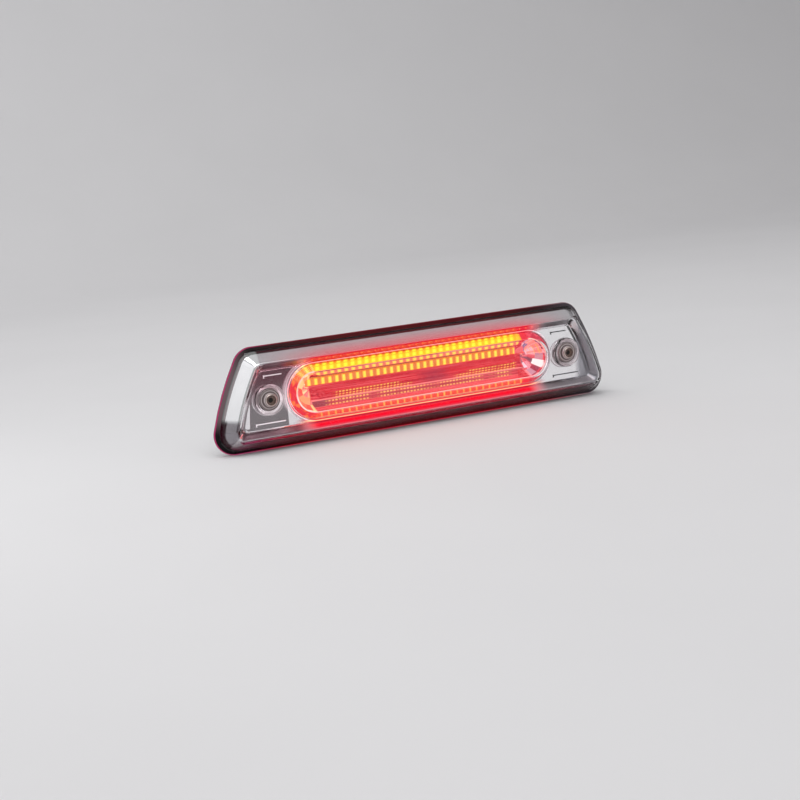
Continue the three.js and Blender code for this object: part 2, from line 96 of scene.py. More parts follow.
def outline(inset):
    """The lamp's outline moved inwards by inset, with round corners and bowed ends."""
    corners = trapezoid_corners(inset)
    radius = max(CORNER_RADIUS - inset * 0.8, 4)
    arcs = []
    for i, corner in enumerate(corners):
        before = (corners[i - 1] - corner).normalized()
        after = (corners[(i + 1) % 4] - corner).normalized()
        half = before.angle(after) / 2
        middle = (before + after).normalized()
        centre = corner + middle * (radius / math.sin(half))
        sweep = math.pi - 2 * half
        arc = []
        for k in range(CORNER_STEPS + 1):
            turn = -sweep / 2 + sweep * k / CORNER_STEPS
            arm = Matrix.Rotation(turn, 2) @ (middle * -radius)
            arc.append(centre + arm)
        arcs.append(arc)
    points = []
    for i, arc in enumerate(arcs):
        points += arc
        if i % 2 == 0:
            continue
        end = arcs[(i + 1) % 4][0]
        for k in range(1, SIDE_STEPS):
            share = k / SIDE_STEPS
            point = arc[-1].lerp(end, share)
            point.x += math.copysign(SIDE_BOW * (1 - (2 * share - 1) ** 2), point.x)
            points.append(point)
    return [(p.x, p.y) for p in points]


def slot(x, z, reach, radius, arc_steps):
    """A slot with round ends whose centres lie reach to each side of x."""
    points = []
    for side in (1, -1):
        for k in range(arc_steps + 1):
            angle = -math.pi / 2 + math.pi * k / arc_steps
            along = side * (reach + radius * math.cos(angle))
            points.append((x + along, z + side * radius * math.sin(angle)))
    return points


def window(inset):
    """The raised window's outline moved inwards by inset."""
    return slot(0, WINDOW_Z, WINDOW_X, WINDOW_RADIUS - inset, 48)


def round_bar(half_length, half_height, arc_steps):
    """The cargo bar's outline."""
    return slot(0, CARGO_Z, half_length - half_height, half_height, arc_steps)


def circle(x, z, radius, segments):
    turns = [2 * math.pi * k / segments for k in range(segments)]
    return [(x + radius * math.cos(t), z + radius * math.sin(t)) for t in turns]


def softened(points, radius, steps=3):
    """A profile whose inner corners are replaced by short curves of about that radius."""
    smooth = [points[0]]
    for before, corner, after in zip(points, points[1:], points[2:]):
        c = Vector(corner)
        to_before = Vector(before) - c
        to_after = Vector(after) - c
        reach = min(radius, 0.42 * to_before.length, 0.42 * to_after.length)
        a = c + to_before.normalized() * reach
        b = c + to_after.normalized() * reach
        for k in range(steps + 1):
            t = k / steps
            point = a * (1 - t) ** 2 + c * (2 * t * (1 - t)) + b * t**2
            smooth.append((point.x, point.y))
    smooth.append(points[-1])
    return smooth


# ---------- mesh building ----------


class Shape:
    """A bmesh in metres that is built from loops given in millimetres."""

    def __init__(self):
        self.bm = bmesh.new()

    def vert(self, x, z, depth):
        return self.bm.verts.new((x * MM, -depth * MM, z * MM))

    def loop(self, points, depth):
        return [self.vert(x, z, depth) for x, z in points]

    def bridge(self, a, b):
        """Four-sided faces between two closed loops of the same length."""
        count = len(a)
        for i in range(count):
            j = (i + 1) % count
            self.bm.faces.new((a[i], a[j], b[j], b[i]))

    def join(self, loops):
        """Faces between neighbouring loops; returns the first and last loop."""
        for a, b in zip(loops, loops[1:]):
            self.bridge(a, b)
        return loops[0], loops[-1]

    def skin(self, rings):
        """The same for rings that are given as points and a depth."""
        return self.join([self.loop(points, depth) for points, depth in rings])

    def frame(self, profile):
        return self.skin([(outline(inset), depth) for inset, depth in profile])

    def pill(self, profile):
        return self.skin([(window(inset), depth) for inset, depth in profile])

    def lathe(self, x, z, profile, segments):
        return self.skin([(circle(x, z, r, segments), depth) for r, depth in profile])

    def wells(self, profile):
        """A turned hole at each mounting screw; returns their front loops and back loops."""
        return zip(*(self.lathe(s * SCREW_X, 0, profile, WELL_SEGMENTS) for _, s in SIDES))

    def plane(self, *loops):
        """Flat faces between an outer loop and the loops inside it."""
        edges = set()
        for verts in loops:
            for i, vert in enumerate(verts):
                pair = (vert, verts[(i + 1) % len(verts)])
                edges.add(self.bm.edges.get(pair) or self.bm.edges.new(pair))
        bmesh.ops.triangle_fill(
            self.bm, use_beauty=True, use_dissolve=False, edges=list(edges), normal=(0, -1, 0)
        )

    def cap(self, *loops):
        for verts in loops:
            self.bm.faces.new(verts)

    def tube(self, x, z, inner, outer, segments):
        """A closed ring from an inner and an outer profile of radii and depths."""
        rings = inner + outer[::-1]
        loops = [self.loop(circle(x, z, r, segments), depth) for r, depth in rings]
        self.join(loops + loops[:1])

    def solid_pin(self, x, z, profile, segments):
        """A closed turned body whose profile starts and ends away from its axis."""
        self.cap(*self.lathe(x, z, profile, segments))

    def block(self, x, z, across, height, back, front, edge=0.0):
        """A box between two depths, with its edges rounded by edge."""
        made = bmesh.ops.create_cube(self.bm, size=1)["verts"]
        size = Matrix.Diagonal((across * MM, (front - back) * MM, height * MM, 1))
        place = Matrix.Translation((x * MM, -(front + back) / 2 * MM, z * MM))
        bmesh.ops.transform(self.bm, matrix=place @ size, verts=made)
        if edge:
            edges = list({e for v in made for e in v.link_edges})
            width = edge * MM
            bmesh.ops.bevel(
                self.bm, geom=edges, offset=width, segments=2, profile=0.6, affect="EDGES"
            )

    def object(self, name, angle):
        """Turns the shape into an object, shaded smooth up to the angle."""
        bmesh.ops.recalc_face_normals(self.bm, faces=self.bm.faces)
        mesh = bpy.data.meshes.new(name)
        self.bm.to_mesh(mesh)
        self.bm.free()
        piece = placed(name, mesh)
        shade(piece, angle)
        return piece


def placed(name, data):
    piece = bpy.data.objects.new(name, data)
    bpy.context.scene.collection.objects.link(piece)
    return piece


def shade(piece, angle):
    """Smooth shading, with an edge kept sharp where it turns by more than the angle."""
    mesh = piece.data
    mesh.shade_smooth()
    if angle is None:
        return
    mesh.set_sharp_from_angle(angle=math.radians(angle))
    even = piece.modifiers.new("even", "WEIGHTED_NORMAL")
    even.keep_sharp = True


def baked(piece):
    """Applies the piece's modifiers, so that its mesh is what shows."""
    graph = bpy.context.evaluated_depsgraph_get()
    mesh = bpy.data.meshes.new_from_object(piece.evaluated_get(graph))
    piece.modifiers.clear()
    piece.data = mesh


def carve(piece, cutters):
    """Takes the cutters out of the piece, and then removes them."""
    for cutter in cutters:
        tool = piece.modifiers.new(cutter.name, "BOOLEAN")
        tool.operation = "DIFFERENCE"
        tool.solver = "MANIFOLD"
        tool.object = cutter
    baked(piece)
    for cutter in cutters:
        bpy.data.objects.remove(cutter)


def finished(piece, body, material, replaced):
    """Sets the piece's material, what it rides on and the CAD node it replaces."""
    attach(piece, body)
    piece.data.materials.clear()
    piece.data.materials.append(material)
    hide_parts(replaced)


def edged(name, node, width, material):
    """A copy of a CAD node on the lamp, with its sharp edges rounded over."""
    piece = nodes[node].copy()
    piece.data = nodes[node].data.copy()
    piece.name = name
    for key in list(piece.keys()):
        del piece[key]
    piece.parent = None
    piece.matrix_world = Matrix.Identity(4)
    bpy.context.scene.collection.objects.link(piece)
    bm = bmesh.new()
    bm.from_mesh(piece.data)
    bmesh.ops.remove_doubles(bm, verts=bm.verts, dist=1e-6)
    flat = math.radians(0.5)
    bmesh.ops.dissolve_limit(bm, angle_limit=flat, verts=bm.verts, edges=bm.edges)
    bm.to_mesh(piece.data)
    bm.free()
    round_over = piece.modifiers.new("round_over", "BEVEL")
    round_over.width = width * MM
    round_over.segments = 2
    round_over.limit_method = "ANGLE"
    round_over.angle_limit = math.radians(30)
    round_over.harden_normals = False
    baked(piece)
    shade(piece, 40)
    finished(piece, "lamp", material, node)


# ---------- materials ----------

PITCHES_ADDED = 1000
# How far a blob of light shifts along x for each millimetre of depth.
BLOB_SLANT = 0.476


class Graph:
    """A material's nodes, with short names for the few kinds used here."""

    def __init__(self, name):
        self.material = bpy.data.materials.new(name)
        self.material.use_nodes = True
        self.tree = self.material.node_tree
        self.tree.nodes.clear()
        self.output = self.node("OutputMaterial")
        self.shader = self.node("BsdfPrincipled")
        self.link(self.shader.outputs[0], self.output.inputs[0])
        scaled = self.node("VectorMath", operation="SCALE")
        scaled.inputs["Scale"].default_value = 1 / MM
        self.link(self.node("TexCoord").outputs["Object"], scaled.inputs[0])
        self.mm = scaled.outputs[0]
        split = self.node("SeparateXYZ")
        self.link(self.mm, split.inputs[0])
        self.x, y, self.z = split.outputs
        self.out = self.math("ABSOLUTE", self.x)
        self.depth = self.math("MULTIPLY", y, -1.0)

    def node(self, kind, **settings):
        made = self.tree.nodes.new("ShaderNode" + kind)
        for key, value in settings.items():
            setattr(made, key, value)
        return made

    def link(self, start, end):
        self.tree.links.new(start, end)

    def put(self, socket, value):
        if isinstance(value, bpy.types.NodeSocket):
            self.link(value, socket)
        elif isinstance(value, tuple) and len(value) == 3 and socket.type == "RGBA":
            socket.default_value = (*value, 1)
        else:
            socket.default_value = value

    def math(self, operation, a, b=0.0, c=0.0, clamp=False):
        node = self.node("Math", operation=operation, use_clamp=clamp)
        for socket, value in zip(node.inputs, (a, b, c)):
            self.put(socket, value)
        return node.outputs[0]

    def times(self, *values):
        total = values[0]
        for value in values[1:]:
            total = self.math("MULTIPLY", total, value)
        return total

    def step(self, value, low, high):
        """0 below low, 1 above high, smooth between; falls instead if low is above high."""
        node = self.node("MapRange", interpolation_type="SMOOTHSTEP")
        start, end = sorted((low, high))
        for key, number in (("From Min", start), ("From Max", end)):
            node.inputs[key].default_value = number
        rising = low <= high
        node.inputs["To Min"].default_value = 0.0 if rising else 1.0
        node.inputs["To Max"].default_value = 1.0 if rising else 0.0
        self.put(node.inputs["Value"], value)
        return node.outputs[0]

    def band(self, value, low, high, soft=0.4):
        """1 from low to high, 0 outside, with soft ends."""
        rise = self.step(value, low - soft, low + soft)
        fall = self.step(value, high + soft, high - soft)
        return self.times(rise, fall)

    def beads(self, value, pitch, width, soft, phase=0.0):
        """1 at every multiple of pitch, 0 between; width is the lit share of the pitch."""
        # The added whole pitches keep the value positive, as FRACT needs.
        shifted = self.math("ADD", value, phase + pitch / 2 + PITCHES_ADDED * pitch)
        part = self.math("FRACT", self.math("DIVIDE", shifted, pitch))
        away = self.math("ABSOLUTE", self.math("SUBTRACT", part, 0.5))
        return self.step(away, width / 2 + soft, max(width / 2 - soft, 0))

    def mix(self, share, a, b):
        node = self.node("Mix", data_type="RGBA")
        self.put(node.inputs["Factor"], share)
        under, over = [s for s in node.inputs if s.type == "RGBA"]
        self.put(under, a)
        self.put(over, b)
        return [s for s in node.outputs if s.type == "RGBA"][0]

    def scaled_vector(self, x, y, z):
        node = self.node("VectorMath", operation="MULTIPLY")
        self.put(node.inputs[0], self.mm)
        node.inputs[1].default_value = (x, y, z)
        return node.outputs[0]

    def noise(self, scale, detail=2.0, rough=0.5, vector=None):
        node = self.node("TexNoise")
        self.put(node.inputs["Vector"], vector or self.mm)
        self.put(node.inputs["Scale"], scale)
        self.put(node.inputs["Detail"], detail)
        self.put(node.inputs["Roughness"], rough)
        return node.outputs["Fac"]

    def cells(self, scale):
        node = self.node("TexVoronoi")
        self.put(node.inputs["Vector"], self.mm)
        self.put(node.inputs["Scale"], scale)
        return node.outputs["Distance"]

    def span(self, value, low, high):
        """A 0 to 1 value stretched to run from low to high."""
        node = self.node("MapRange")
        self.put(node.inputs["Value"], value)
        node.inputs["To Min"].default_value = low
        node.inputs["To Max"].default_value = high
        return node.outputs[0]

    def bump(self, height, distance, strength, normal=None):
        node = self.node("Bump")
        node.inputs["Strength"].default_value = strength
        node.inputs["Distance"].default_value = distance * MM
        self.put(node.inputs["Height"], height)
        if normal:
            self.link(normal, node.inputs["Normal"])
        self.link(node.outputs[0], self.shader.inputs["Normal"])

    def length(self, across, up):
        """Distance of a point that lies across and up from a centre."""
        return self.math("SQRT", self.math("ADD", self.times(across, across), self.times(up, up)))

    def either(self, *masks):
        """The larger of the masks, so that it shows where any of them does."""
        most = masks[0]
        for mask in masks[1:]:
            most = self.math("MAXIMUM", most, mask)
        return most

    def paint(self, below, *layers):
        """Colours laid over each other: a layer is masks, which are multiplied, and a colour."""
        for *masks, colour in layers:
            below = self.mix(self.times(*masks), below, colour)
        return below

    def attribute(self, name):
        return self.node("Attribute", attribute_name=name).outputs["Fac"]

    def set(self, **values):
        for key, value in values.items():
            self.put(self.shader.inputs[key.replace("_", " ")], value)

    def glow(self, colour, strength=1.0):
        self.put(self.shader.inputs["Emission Color"], colour)
        self.shader.inputs["Emission Strength"].default_value = strength

    def lets_lamps_through(self, tint):
        """Rays from lamps pass straight through, so that they reach what is behind."""
        clear = self.node("BsdfTransparent")
        clear.inputs["Color"].default_value = (*tint, 1)
        either = self.node("MixShader")
        self.link(self.node("LightPath").outputs["Is Shadow Ray"], either.inputs[0])
        self.link(self.shader.outputs[0], either.inputs[1])
        self.link(clear.outputs[0], either.inputs[2])
        self.link(either.outputs[0], self.output.inputs[0])


def polar(graph, side):
    """Distance and angle (0 outwards, 90 up, in degrees) about a window end's centre."""
    across = graph.math("MULTIPLY", graph.math("SUBTRACT", graph.x, side * WINDOW_X), side)
    up = graph.math("SUBTRACT", graph.z, WINDOW_Z)
    angle = graph.math("DEGREES", graph.math("ARCTAN2", up, across))
    return graph.length(across, up), angle


def pill_distance(graph):
    """Distance from the middle line of the window: 24 mm all round its outline."""
    past = graph.math("MAXIMUM", graph.math("SUBTRACT", graph.out, WINDOW_X), 0.0)
    return graph.length(past, graph.math("SUBTRACT", graph.z, WINDOW_Z))


def screw_distance(graph):
    """Distance from the axis of the nearer mounting screw."""
    return graph.length(graph.math("SUBTRACT", graph.out, SCREW_X), graph.z)


def clear_lens_material():
    """Clear lens, with painted light: pale rings in the screw wells, lines of light round the
    window, and a painted shade round the right well.
    """
    g = Graph("clear_polycarbonate")
    haze = g.noise(0.05, 3.0)
    well = screw_distance(g)
    # Painted shade: the clear tint turns darker in a ring round the right well.
    shaded = g.times(g.band(well, 9.6, 12.8, 0.3), g.step(g.x, 0, 1))
    clear = g.mix(haze, (0.975, 0.975, 0.985), (0.995, 0.995, 1.0))
    g.set(
        Base_Color=g.mix(shaded, clear, (0.52, 0.49, 0.50)),
        Roughness=g.span(g.noise(0.6, 4.0), 0.0, 0.03),
        IOR=1.2,
        Transmission_Weight=1.0,
    )
    # Painted light: lines where light piped along the wall leaves, at the foot and the crown of
    # the window, a sill line low down and faint echo lines by the left end.
    depth = g.depth
    on_floor = g.step(depth, 18.4, 18.1)
    far = pill_distance(g)
    foot = g.times(g.band(far, 23.7, 24.2, 0.25), g.band(depth, 18.0, 20.0, 0.3))
    crown = g.times(g.band(far, 16.9, 17.3, 0.2), g.step(depth, 24.0, 24.6))
    foot_colour = g.mix(g.step(g.z, -6, 6), (1.0, 0.44, 0.14), (0.72, 0.40, 0.42))
    foot_colour = g.mix(g.step(g.out, 102, 112), foot_colour, (0.80, 0.56, 0.62))
    sill = g.times(g.band(far, 24.1, 24.8, 0.2), on_floor, g.step(g.z, -20, -22))
    by_left_end = g.times(on_floor, g.step(g.x, -100, -106), g.step(g.z, -16, -4))
    echoes = g.either(g.band(far, 25.3, 25.6, 0.2), g.band(far, 27.0, 27.2, 0.2))
    # The wells: painted highlights as broken lines along the lips on the left, and painted
    # reflections as soft rings on wall and rim.
    lips = g.either(g.band(well, 12.3, 12.5, 0.2), g.band(well, 9.75, 9.95, 0.2))
    lips = g.times(lips, g.step(g.noise(0.12, 1.0), 0.40, 0.56), g.step(depth, 16.8, 17.2))
    lips = g.times(lips, g.step(g.x, 60, -60))
    well_wall = g.times(g.band(well, 9.4, 10.2, 0.1), g.band(depth, 17.5, 20.1, 0.1))
    wall_rings = g.mix(g.beads(depth, 0.9, 0.4, 0.2), (0.09, 0.07, 0.075), (0.36, 0.31, 0.32))
    rim = g.times(g.band(well, 10.1, 12.4, 0.15), g.step(depth, 20.1, 20.4))
    rim_rings = g.mix(g.beads(well, 1.15, 0.35, 0.12), (0.12, 0.10, 0.105), (0.33, 0.28, 0.29))
    glow = g.paint(
        BLACK,
        (crown, 0.5, (0.50, 0.22, 0.24)),
        (foot, 0.9, foot_colour),
        (sill, g.step(g.out, 118, 96), 0.8, (1.0, 0.54, 0.26)),
        (by_left_end, echoes, (0.78, 0.62, 0.66)),
        (rim, 0.9, rim_rings),
        (lips, 0.8, (0.46, 0.40, 0.41)),
        (well_wall, 0.75, wall_rings),
    )
    g.glow(glow)
    g.lets_lamps_through((0.93, 0.93, 0.94))
    return g.material


def edge_band_material():
    """The lens's flange, painted near black for the dark surroundings it shows, with painted light
    leaking along its outer lip.
    """
    g = Graph("flange_painted_dark")
    tint = g.paint(
        (0.16, 0.004, 0.014),
        (g.step(g.z, -30, -38), (0.50, 0.010, 0.035)),
        (g.step(g.x, -120, -165), (0.38, 0.03, 0.12)),
    )
    tint = g.mix(g.step(g.x, 190, 90), (0.16, 0.13, 0.15), tint)
    # Painted shade: the flange is near black for the dark casing and surroundings seen in it, and
    # lighter grey towards the right end.
    black = g.mix(g.noise(0.3, 3.0), (0.004, 0.003, 0.004), (0.010, 0.008, 0.009))
    g.set(
        Base_Color=g.mix(g.step(g.x, 110, 175), black, (0.075, 0.066, 0.078)),
        Roughness=g.span(g.noise(0.6, 4.0), 0.12, 0.22),
        IOR=1.16,
    )
    # Painted light: a faint red glow away from the ends, a grey-pink patch at the far left, and
    # the leak along the lip, red and greyer towards the right.
    side = g.times(g.step(g.x, -150, -170), g.step(g.z, -26, -8), g.step(g.depth, 2.4, 3.0))
    glow = g.paint(
        BLACK,
        (g.step(g.out, 165, 60), (0.060, 0.001, 0.002)),
        (side, (0.13, 0.085, 0.095)),
        (g.step(g.attribute("lip"), 0.5, 1.0), tint),
    )
    g.glow(glow)
    return g.material


def leaning_normal(graph):
    """The bezel's two end pads lean back a little and away from each other."""
    normal = graph.node("NewGeometry").outputs["Normal"]
    split = graph.node("SeparateXYZ")
    graph.link(normal, split.inputs[0])
    front = graph.step(split.outputs[1], -0.96, -0.99)
    lean = graph.node("CombineXYZ")
    sideways = graph.math("MULTIPLY_ADD", graph.step(graph.x, -60, 60), 0.07, -0.02)
    graph.put(lean.inputs[0], graph.times(front, sideways))
    graph.put(lean.inputs[2], graph.times(front, 0.15))
    total = graph.node("VectorMath")
    graph.link(normal, total.inputs[0])
    graph.link(lean.outputs[0], total.inputs[1])
    even = graph.node("VectorMath", operation="NORMALIZE")
    graph.link(total.outputs[0], even.inputs[0])
    return even.outputs[0]


def chrome_material():
    """Plated bezel with painted light: bright bevels, a painted highlight on the left bevel,
    painted shade on the left pad and other darker parts, and the lit row's red painted on the
    walls.
    """
    g = Graph("plated_chrome")
    smear = g.noise(0.08, 4.0, 0.6)
    base = g.mix(smear, (0.72, 0.70, 0.72), (0.84, 0.83, 0.84))
    left = g.step(g.x, 1, -1)
    rightwards = g.step(g.x, -20, 20)
    out = g.out
    # The recess walls beside the window carry the glow of the lit row.
    along = g.step(out, 122, 100)
    upper = g.band(g.z, 22.0, 29.6, 0.6)
    lower = g.band(g.z, -29.6, -21.0, 0.6)
    wall = g.times(along, g.either(upper, lower))
    halo = g.times(g.step(out, 150, 80), g.step(g.z, 29.2, 29.8), g.step(g.z, 38.5, 28))
    halo = g.either(halo, g.times(along, g.band(g.z, -31.0, -29.6, 1.2)))
    # Painted reflections: a row of dots of the lit packages along the upper wall.
    dots = g.times(g.beads(g.x, BRAKE_PITCH, 0.20, 0.07), g.band(g.z, 26.9, 27.5, 0.2), along)
    hot = g.times(along, g.band(g.z, -28.4, -26.4, 0.6))
    # Painted light: thin dark red lines along both walls.
    red_glow_lines = g.either(g.band(g.z, -25.7, -25.1, 0.25), g.band(g.z, 24.4, 25.3, 0.25))
    spill = g.step(g.x, -60, -120)
    # Painted shade where the plating turns away: its colour is darker at the wall ends, foot,
    # right side and lower left, and the wall ends, foot and right side are also rougher.
    depth = g.depth
    sideways = g.math("MULTIPLY_ADD", g.z, SIDE_SLANT, out)
    bevel = g.step(sideways, 159, 161)
    dull_and_shaded = g.times(g.either(upper, lower), g.step(out, 100, 120), g.step(depth, 15.9, 16.3))
    dull_and_shaded = g.times(dull_and_shaded, g.step(sideways, 157.5, 156))
    pad = g.times(g.step(depth, 15.9, 15.6), g.step(sideways, 160, 158), g.step(g.z, 27, 25))
    foot = g.step(g.z, -31, -33.5)
    right = g.step(g.x, 150, 158)
    low_left = g.times(bevel, left, g.step(g.z, -12, -16))
    # Thin raised lines on the pads: a painted highlight on the shaded left pad, painted dark on
    # the right one.
    on_pad = g.times(g.band(g.math("ABSOLUTE", g.z), 17.0, 21.0), g.band(out, 126, 156, 1))
    line = g.times(on_pad, g.band(depth, 15.4, 15.85, 0.05))
    # Painted reflections and shade: the walls' dark red, a red halo round them, the shaded left
    # pad, darker right side, lower left, foot and wall ends, a near-black crescent at the lower
    # left, and dark pad lines on the right.
    base = g.paint(
        base,
        (wall, (0.14, 0.004, 0.01)),
        (halo, 0.75, (0.40, 0.17, 0.19)),
        (g.step(g.x, -100, -120), g.step(g.z, -8, 18), pad, (0.44, 0.24, 0.28)),
        (right, (0.36, 0.35, 0.38)),
        (low_left, (0.27, 0.27, 0.285)),
        (foot, g.step(g.x, -165, -150), (0.26, 0.19, 0.20)),
        (dull_and_shaded, g.step(g.x, 20, -20), (0.20, 0.12, 0.14)),
        (dull_and_shaded, rightwards, (0.42, 0.38, 0.40)),
        (low_left, g.step(depth, 11.0, 10.2), (0.012, 0.010, 0.012)),
        (line, rightwards, (0.06, 0.06, 0.065)),
    )
    smooth = g.span(g.noise(0.3, 4.0), 0.04, 0.11)
    rough = g.math("MULTIPLY_ADD", wall, 0.35, smooth)
    g.set(
        Base_Color=base,
        Metallic=g.math("SUBTRACT", 1.0, wall),
        Roughness=g.math("MULTIPLY_ADD", g.either(dull_and_shaded, right, foot), 0.24, rough),
        IOR=1.06,
    )
    g.bump(g.noise(0.12, 3.0), 0.03, 0.4, leaning_normal(g))
    lower_red = g.mix(hot, (0.72, 0.03, 0.06), (0.90, 0.0, 0.02))
    red = g.mix(g.step(g.z, -2, 2), lower_red, (0.72, 0.0, 0.02))
    # Painted light: a faint red spill on the left, a painted highlight on the upper left bevel,
    # bright pad lines on the left, the red halo, the walls' red, dark red lines, an orange line
    # low along the window's edge and the row's dots.
    glow = g.paint(
        BLACK,
        (spill, (0.014, 0.0, 0.003)),
        (bevel, left, g.step(g.z, -17, -11), (0.16, 0.175, 0.17)),
        (line, spill, (0.62, 0.54, 0.57)),
        (halo, (0.44, 0.012, 0.03)),
        (wall, red),
        (along, red_glow_lines, 0.75, (0.26, 0.0, 0.01)),
        (along, g.band(g.z, -23.9, -22.9, 0.15), 0.85, (1.0, 0.56, 0.26)),
        (dots, (1.0, 0.16, 0.03)),
    )
    g.glow(glow)
    return g.material


def dome_colours(g, facet, tones):
    """A colour for each flat panel: the last tone whose start is below the panel's number."""
    colour = tones[0][1]
    for start, tone in tones[1:]:
        colour = g.mix(g.step(facet, start - 0.01, start + 0.01), colour, tone)
    return colour


def reflector_material():
    """Plated reflector: what the lit row paints on its ring, flutes, shelf and end domes."""
    g = Graph("lit_reflector")
    smear = g.noise(0.1, 4.0, 0.6)
    depth = g.depth
    far = pill_distance(g)
    _, turn = polar(g, -1)
    reach, aim = polar(g, 1)
    left_end = g.step(g.x, -WINDOW_X + 1, -WINDOW_X - 1)
    right_end = g.step(g.x, WINDOW_X - 1, WINDOW_X + 1)
    at_end = g.either(left_end, right_end)
    straight = g.band(g.x, -WINDOW_X, ROW_END, 1.2)
    upper_half = g.step(g.z, 0, 4)
    # Slanted across the depth, so that each blob stands upright from the front left.
    slant = g.math("MULTIPLY_ADD", depth, BLOB_SLANT, g.x)
    bead = g.beads(slant, BRAKE_PITCH, 0.54, 0.17)
    facet = g.attribute("facet")

    # Shelf and trough walls: painted light, red to pink, with thin lines of light and shadow and a
    # darker patch right of the middle.
    lines = g.noise(1.0, 3.0, 0.6, g.scaled_vector(0.012, 0.9, 0.9))
    glow = g.mix(g.noise(0.15, 2.0), (0.54, 0.018, 0.028), (0.70, 0.045, 0.06))
    glow = g.paint(
        glow,
        (g.step(lines, 0.53, 0.62), 0.5, (0.86, 0.18, 0.20)),
        (g.step(lines, 0.46, 0.38), 0.6, (0.28, 0.012, 0.03)),
        (g.band(g.x, 2, 24, 9), g.band(g.z, -8, 1, 2), 0.6, (0.28, 0.04, 0.07)),
    )

    # Upper flutes: painted light on grey-pink ledges, and a row of small painted beads of light
    # over a painted dark red shadow line.
    ledges = g.times(g.band(g.z, 16.25, 17.1, 0.1), g.step(depth, 21.0, 20.4), straight)
    row_two = g.times(g.band(g.z, 12.3, 16.25, 0.1), g.band(depth, 13.2, 17.2, 0.2), straight)
    small = g.times(g.beads(slant, BRAKE_PITCH, 0.50, 0.12), g.band(g.z, 13.0, 15.5, 0.3))
    shade_line = g.times(g.band(g.z, 10.0, 12.3, 0.2), g.step(depth, 9.0, 8.4), straight)
    glow = g.paint(
        glow,
        (ledges, g.mix(g.step(lines, 0.45, 0.55), (0.34, 0.06, 0.08), (0.74, 0.34, 0.32))),
        (row_two, (0.86, 0.20, 0.13)),
        (row_two, small, (1.0, 0.76, 0.12)),
        (shade_line, (0.36, 0.01, 0.015)),
    )

    # Lower flutes: painted reflections of the row as two rows of broken orange dots, and a third
    # away from the middle.
    dots = broken_dots(g, 0.05, (0.6, 0, 0.6), 0.32, 0.40, 0.10)
    rows = g.either(g.band(g.z, -6.4, -5.4, 0.1), g.band(g.z, -8.1, -7.4, 0.1))
    from_middle = g.math("ABSOLUTE", g.math("SUBTRACT", g.x, 12))
    rows = g.either(rows, g.times(g.band(g.z, -4.3, -3.1, 0.1), g.step(from_middle, 30, 38)))
    rows = g.times(rows, g.step(from_middle, 18, 26), g.step(g.x, -84, -76))
    glow = g.mix(g.times(rows, dots, straight), glow, (1.0, 0.64, 0.12))

    # Domes: flat panels, each with its own painted reflection of the row, some with painted white
    # highlights, and painted orange arcs.
    arcs = g.times(g.beads(far, 2.4, 0.16, 0.06), g.step(g.noise(0.11, 2.0), 0.48, 0.54))
    right_panels = dome_colours(g, facet, [
        (0.0, (0.20, 0.03, 0.06)),
        (0.22, (0.50, 0.03, 0.05)),
        (0.46, (0.72, 0.06, 0.08)),
        (0.72, (0.86, 0.26, 0.28)),
        (0.86, (0.38, 0.24, 0.32)),
    ])
    inward = g.either(g.step(aim, -138, -141), g.step(aim, 168, 171))
    fan = g.times(g.band(aim, 8, 98, 3), g.step(reach, 5.0, 5.6))
    fan_panels = dome_colours(g, facet, [
        (0.0, (0.05, 0.02, 0.05)),
        (0.3, (0.74, 0.36, 0.42)),
        (0.5, (0.18, 0.13, 0.26)),
        (0.7, (0.92, 0.22, 0.18)),
    ])
    right_panels = g.paint(
        right_panels,
        (fan, fan_panels),
        (fan, g.beads(aim, 20, 0.05, 0.03, 10), (0.90, 0.60, 0.62)),
        (g.band(aim, -40, -16, 1), g.band(reach, 10.6, 16.2, 0.3), (1.0, 0.92, 0.90)),
        (g.band(aim, -84, -66, 1), g.band(reach, 6.0, 10.5, 0.3), (0.78, 0.56, 0.64)),
        (inward, g.band(reach, 1.5, 10.5, 0.3), (1.0, 0.97, 0.97)),
    )
    left_panels = dome_colours(g, facet, [
        (0.0, (0.86, 0.10, 0.07)),
        (0.30, (1.0, 0.34, 0.14)),
        (0.58, (1.0, 0.62, 0.26)),
        (0.84, (1.0, 0.88, 0.62)),
    ])
    inside = g.step(far, 17.0, 16.6)
    glow = g.paint(
        glow,
        (inside, right_end, right_panels),
        (inside, left_end, left_panels),
        (inside, right_end, arcs, upper_half, (1.0, 0.42, 0.08)),
    )

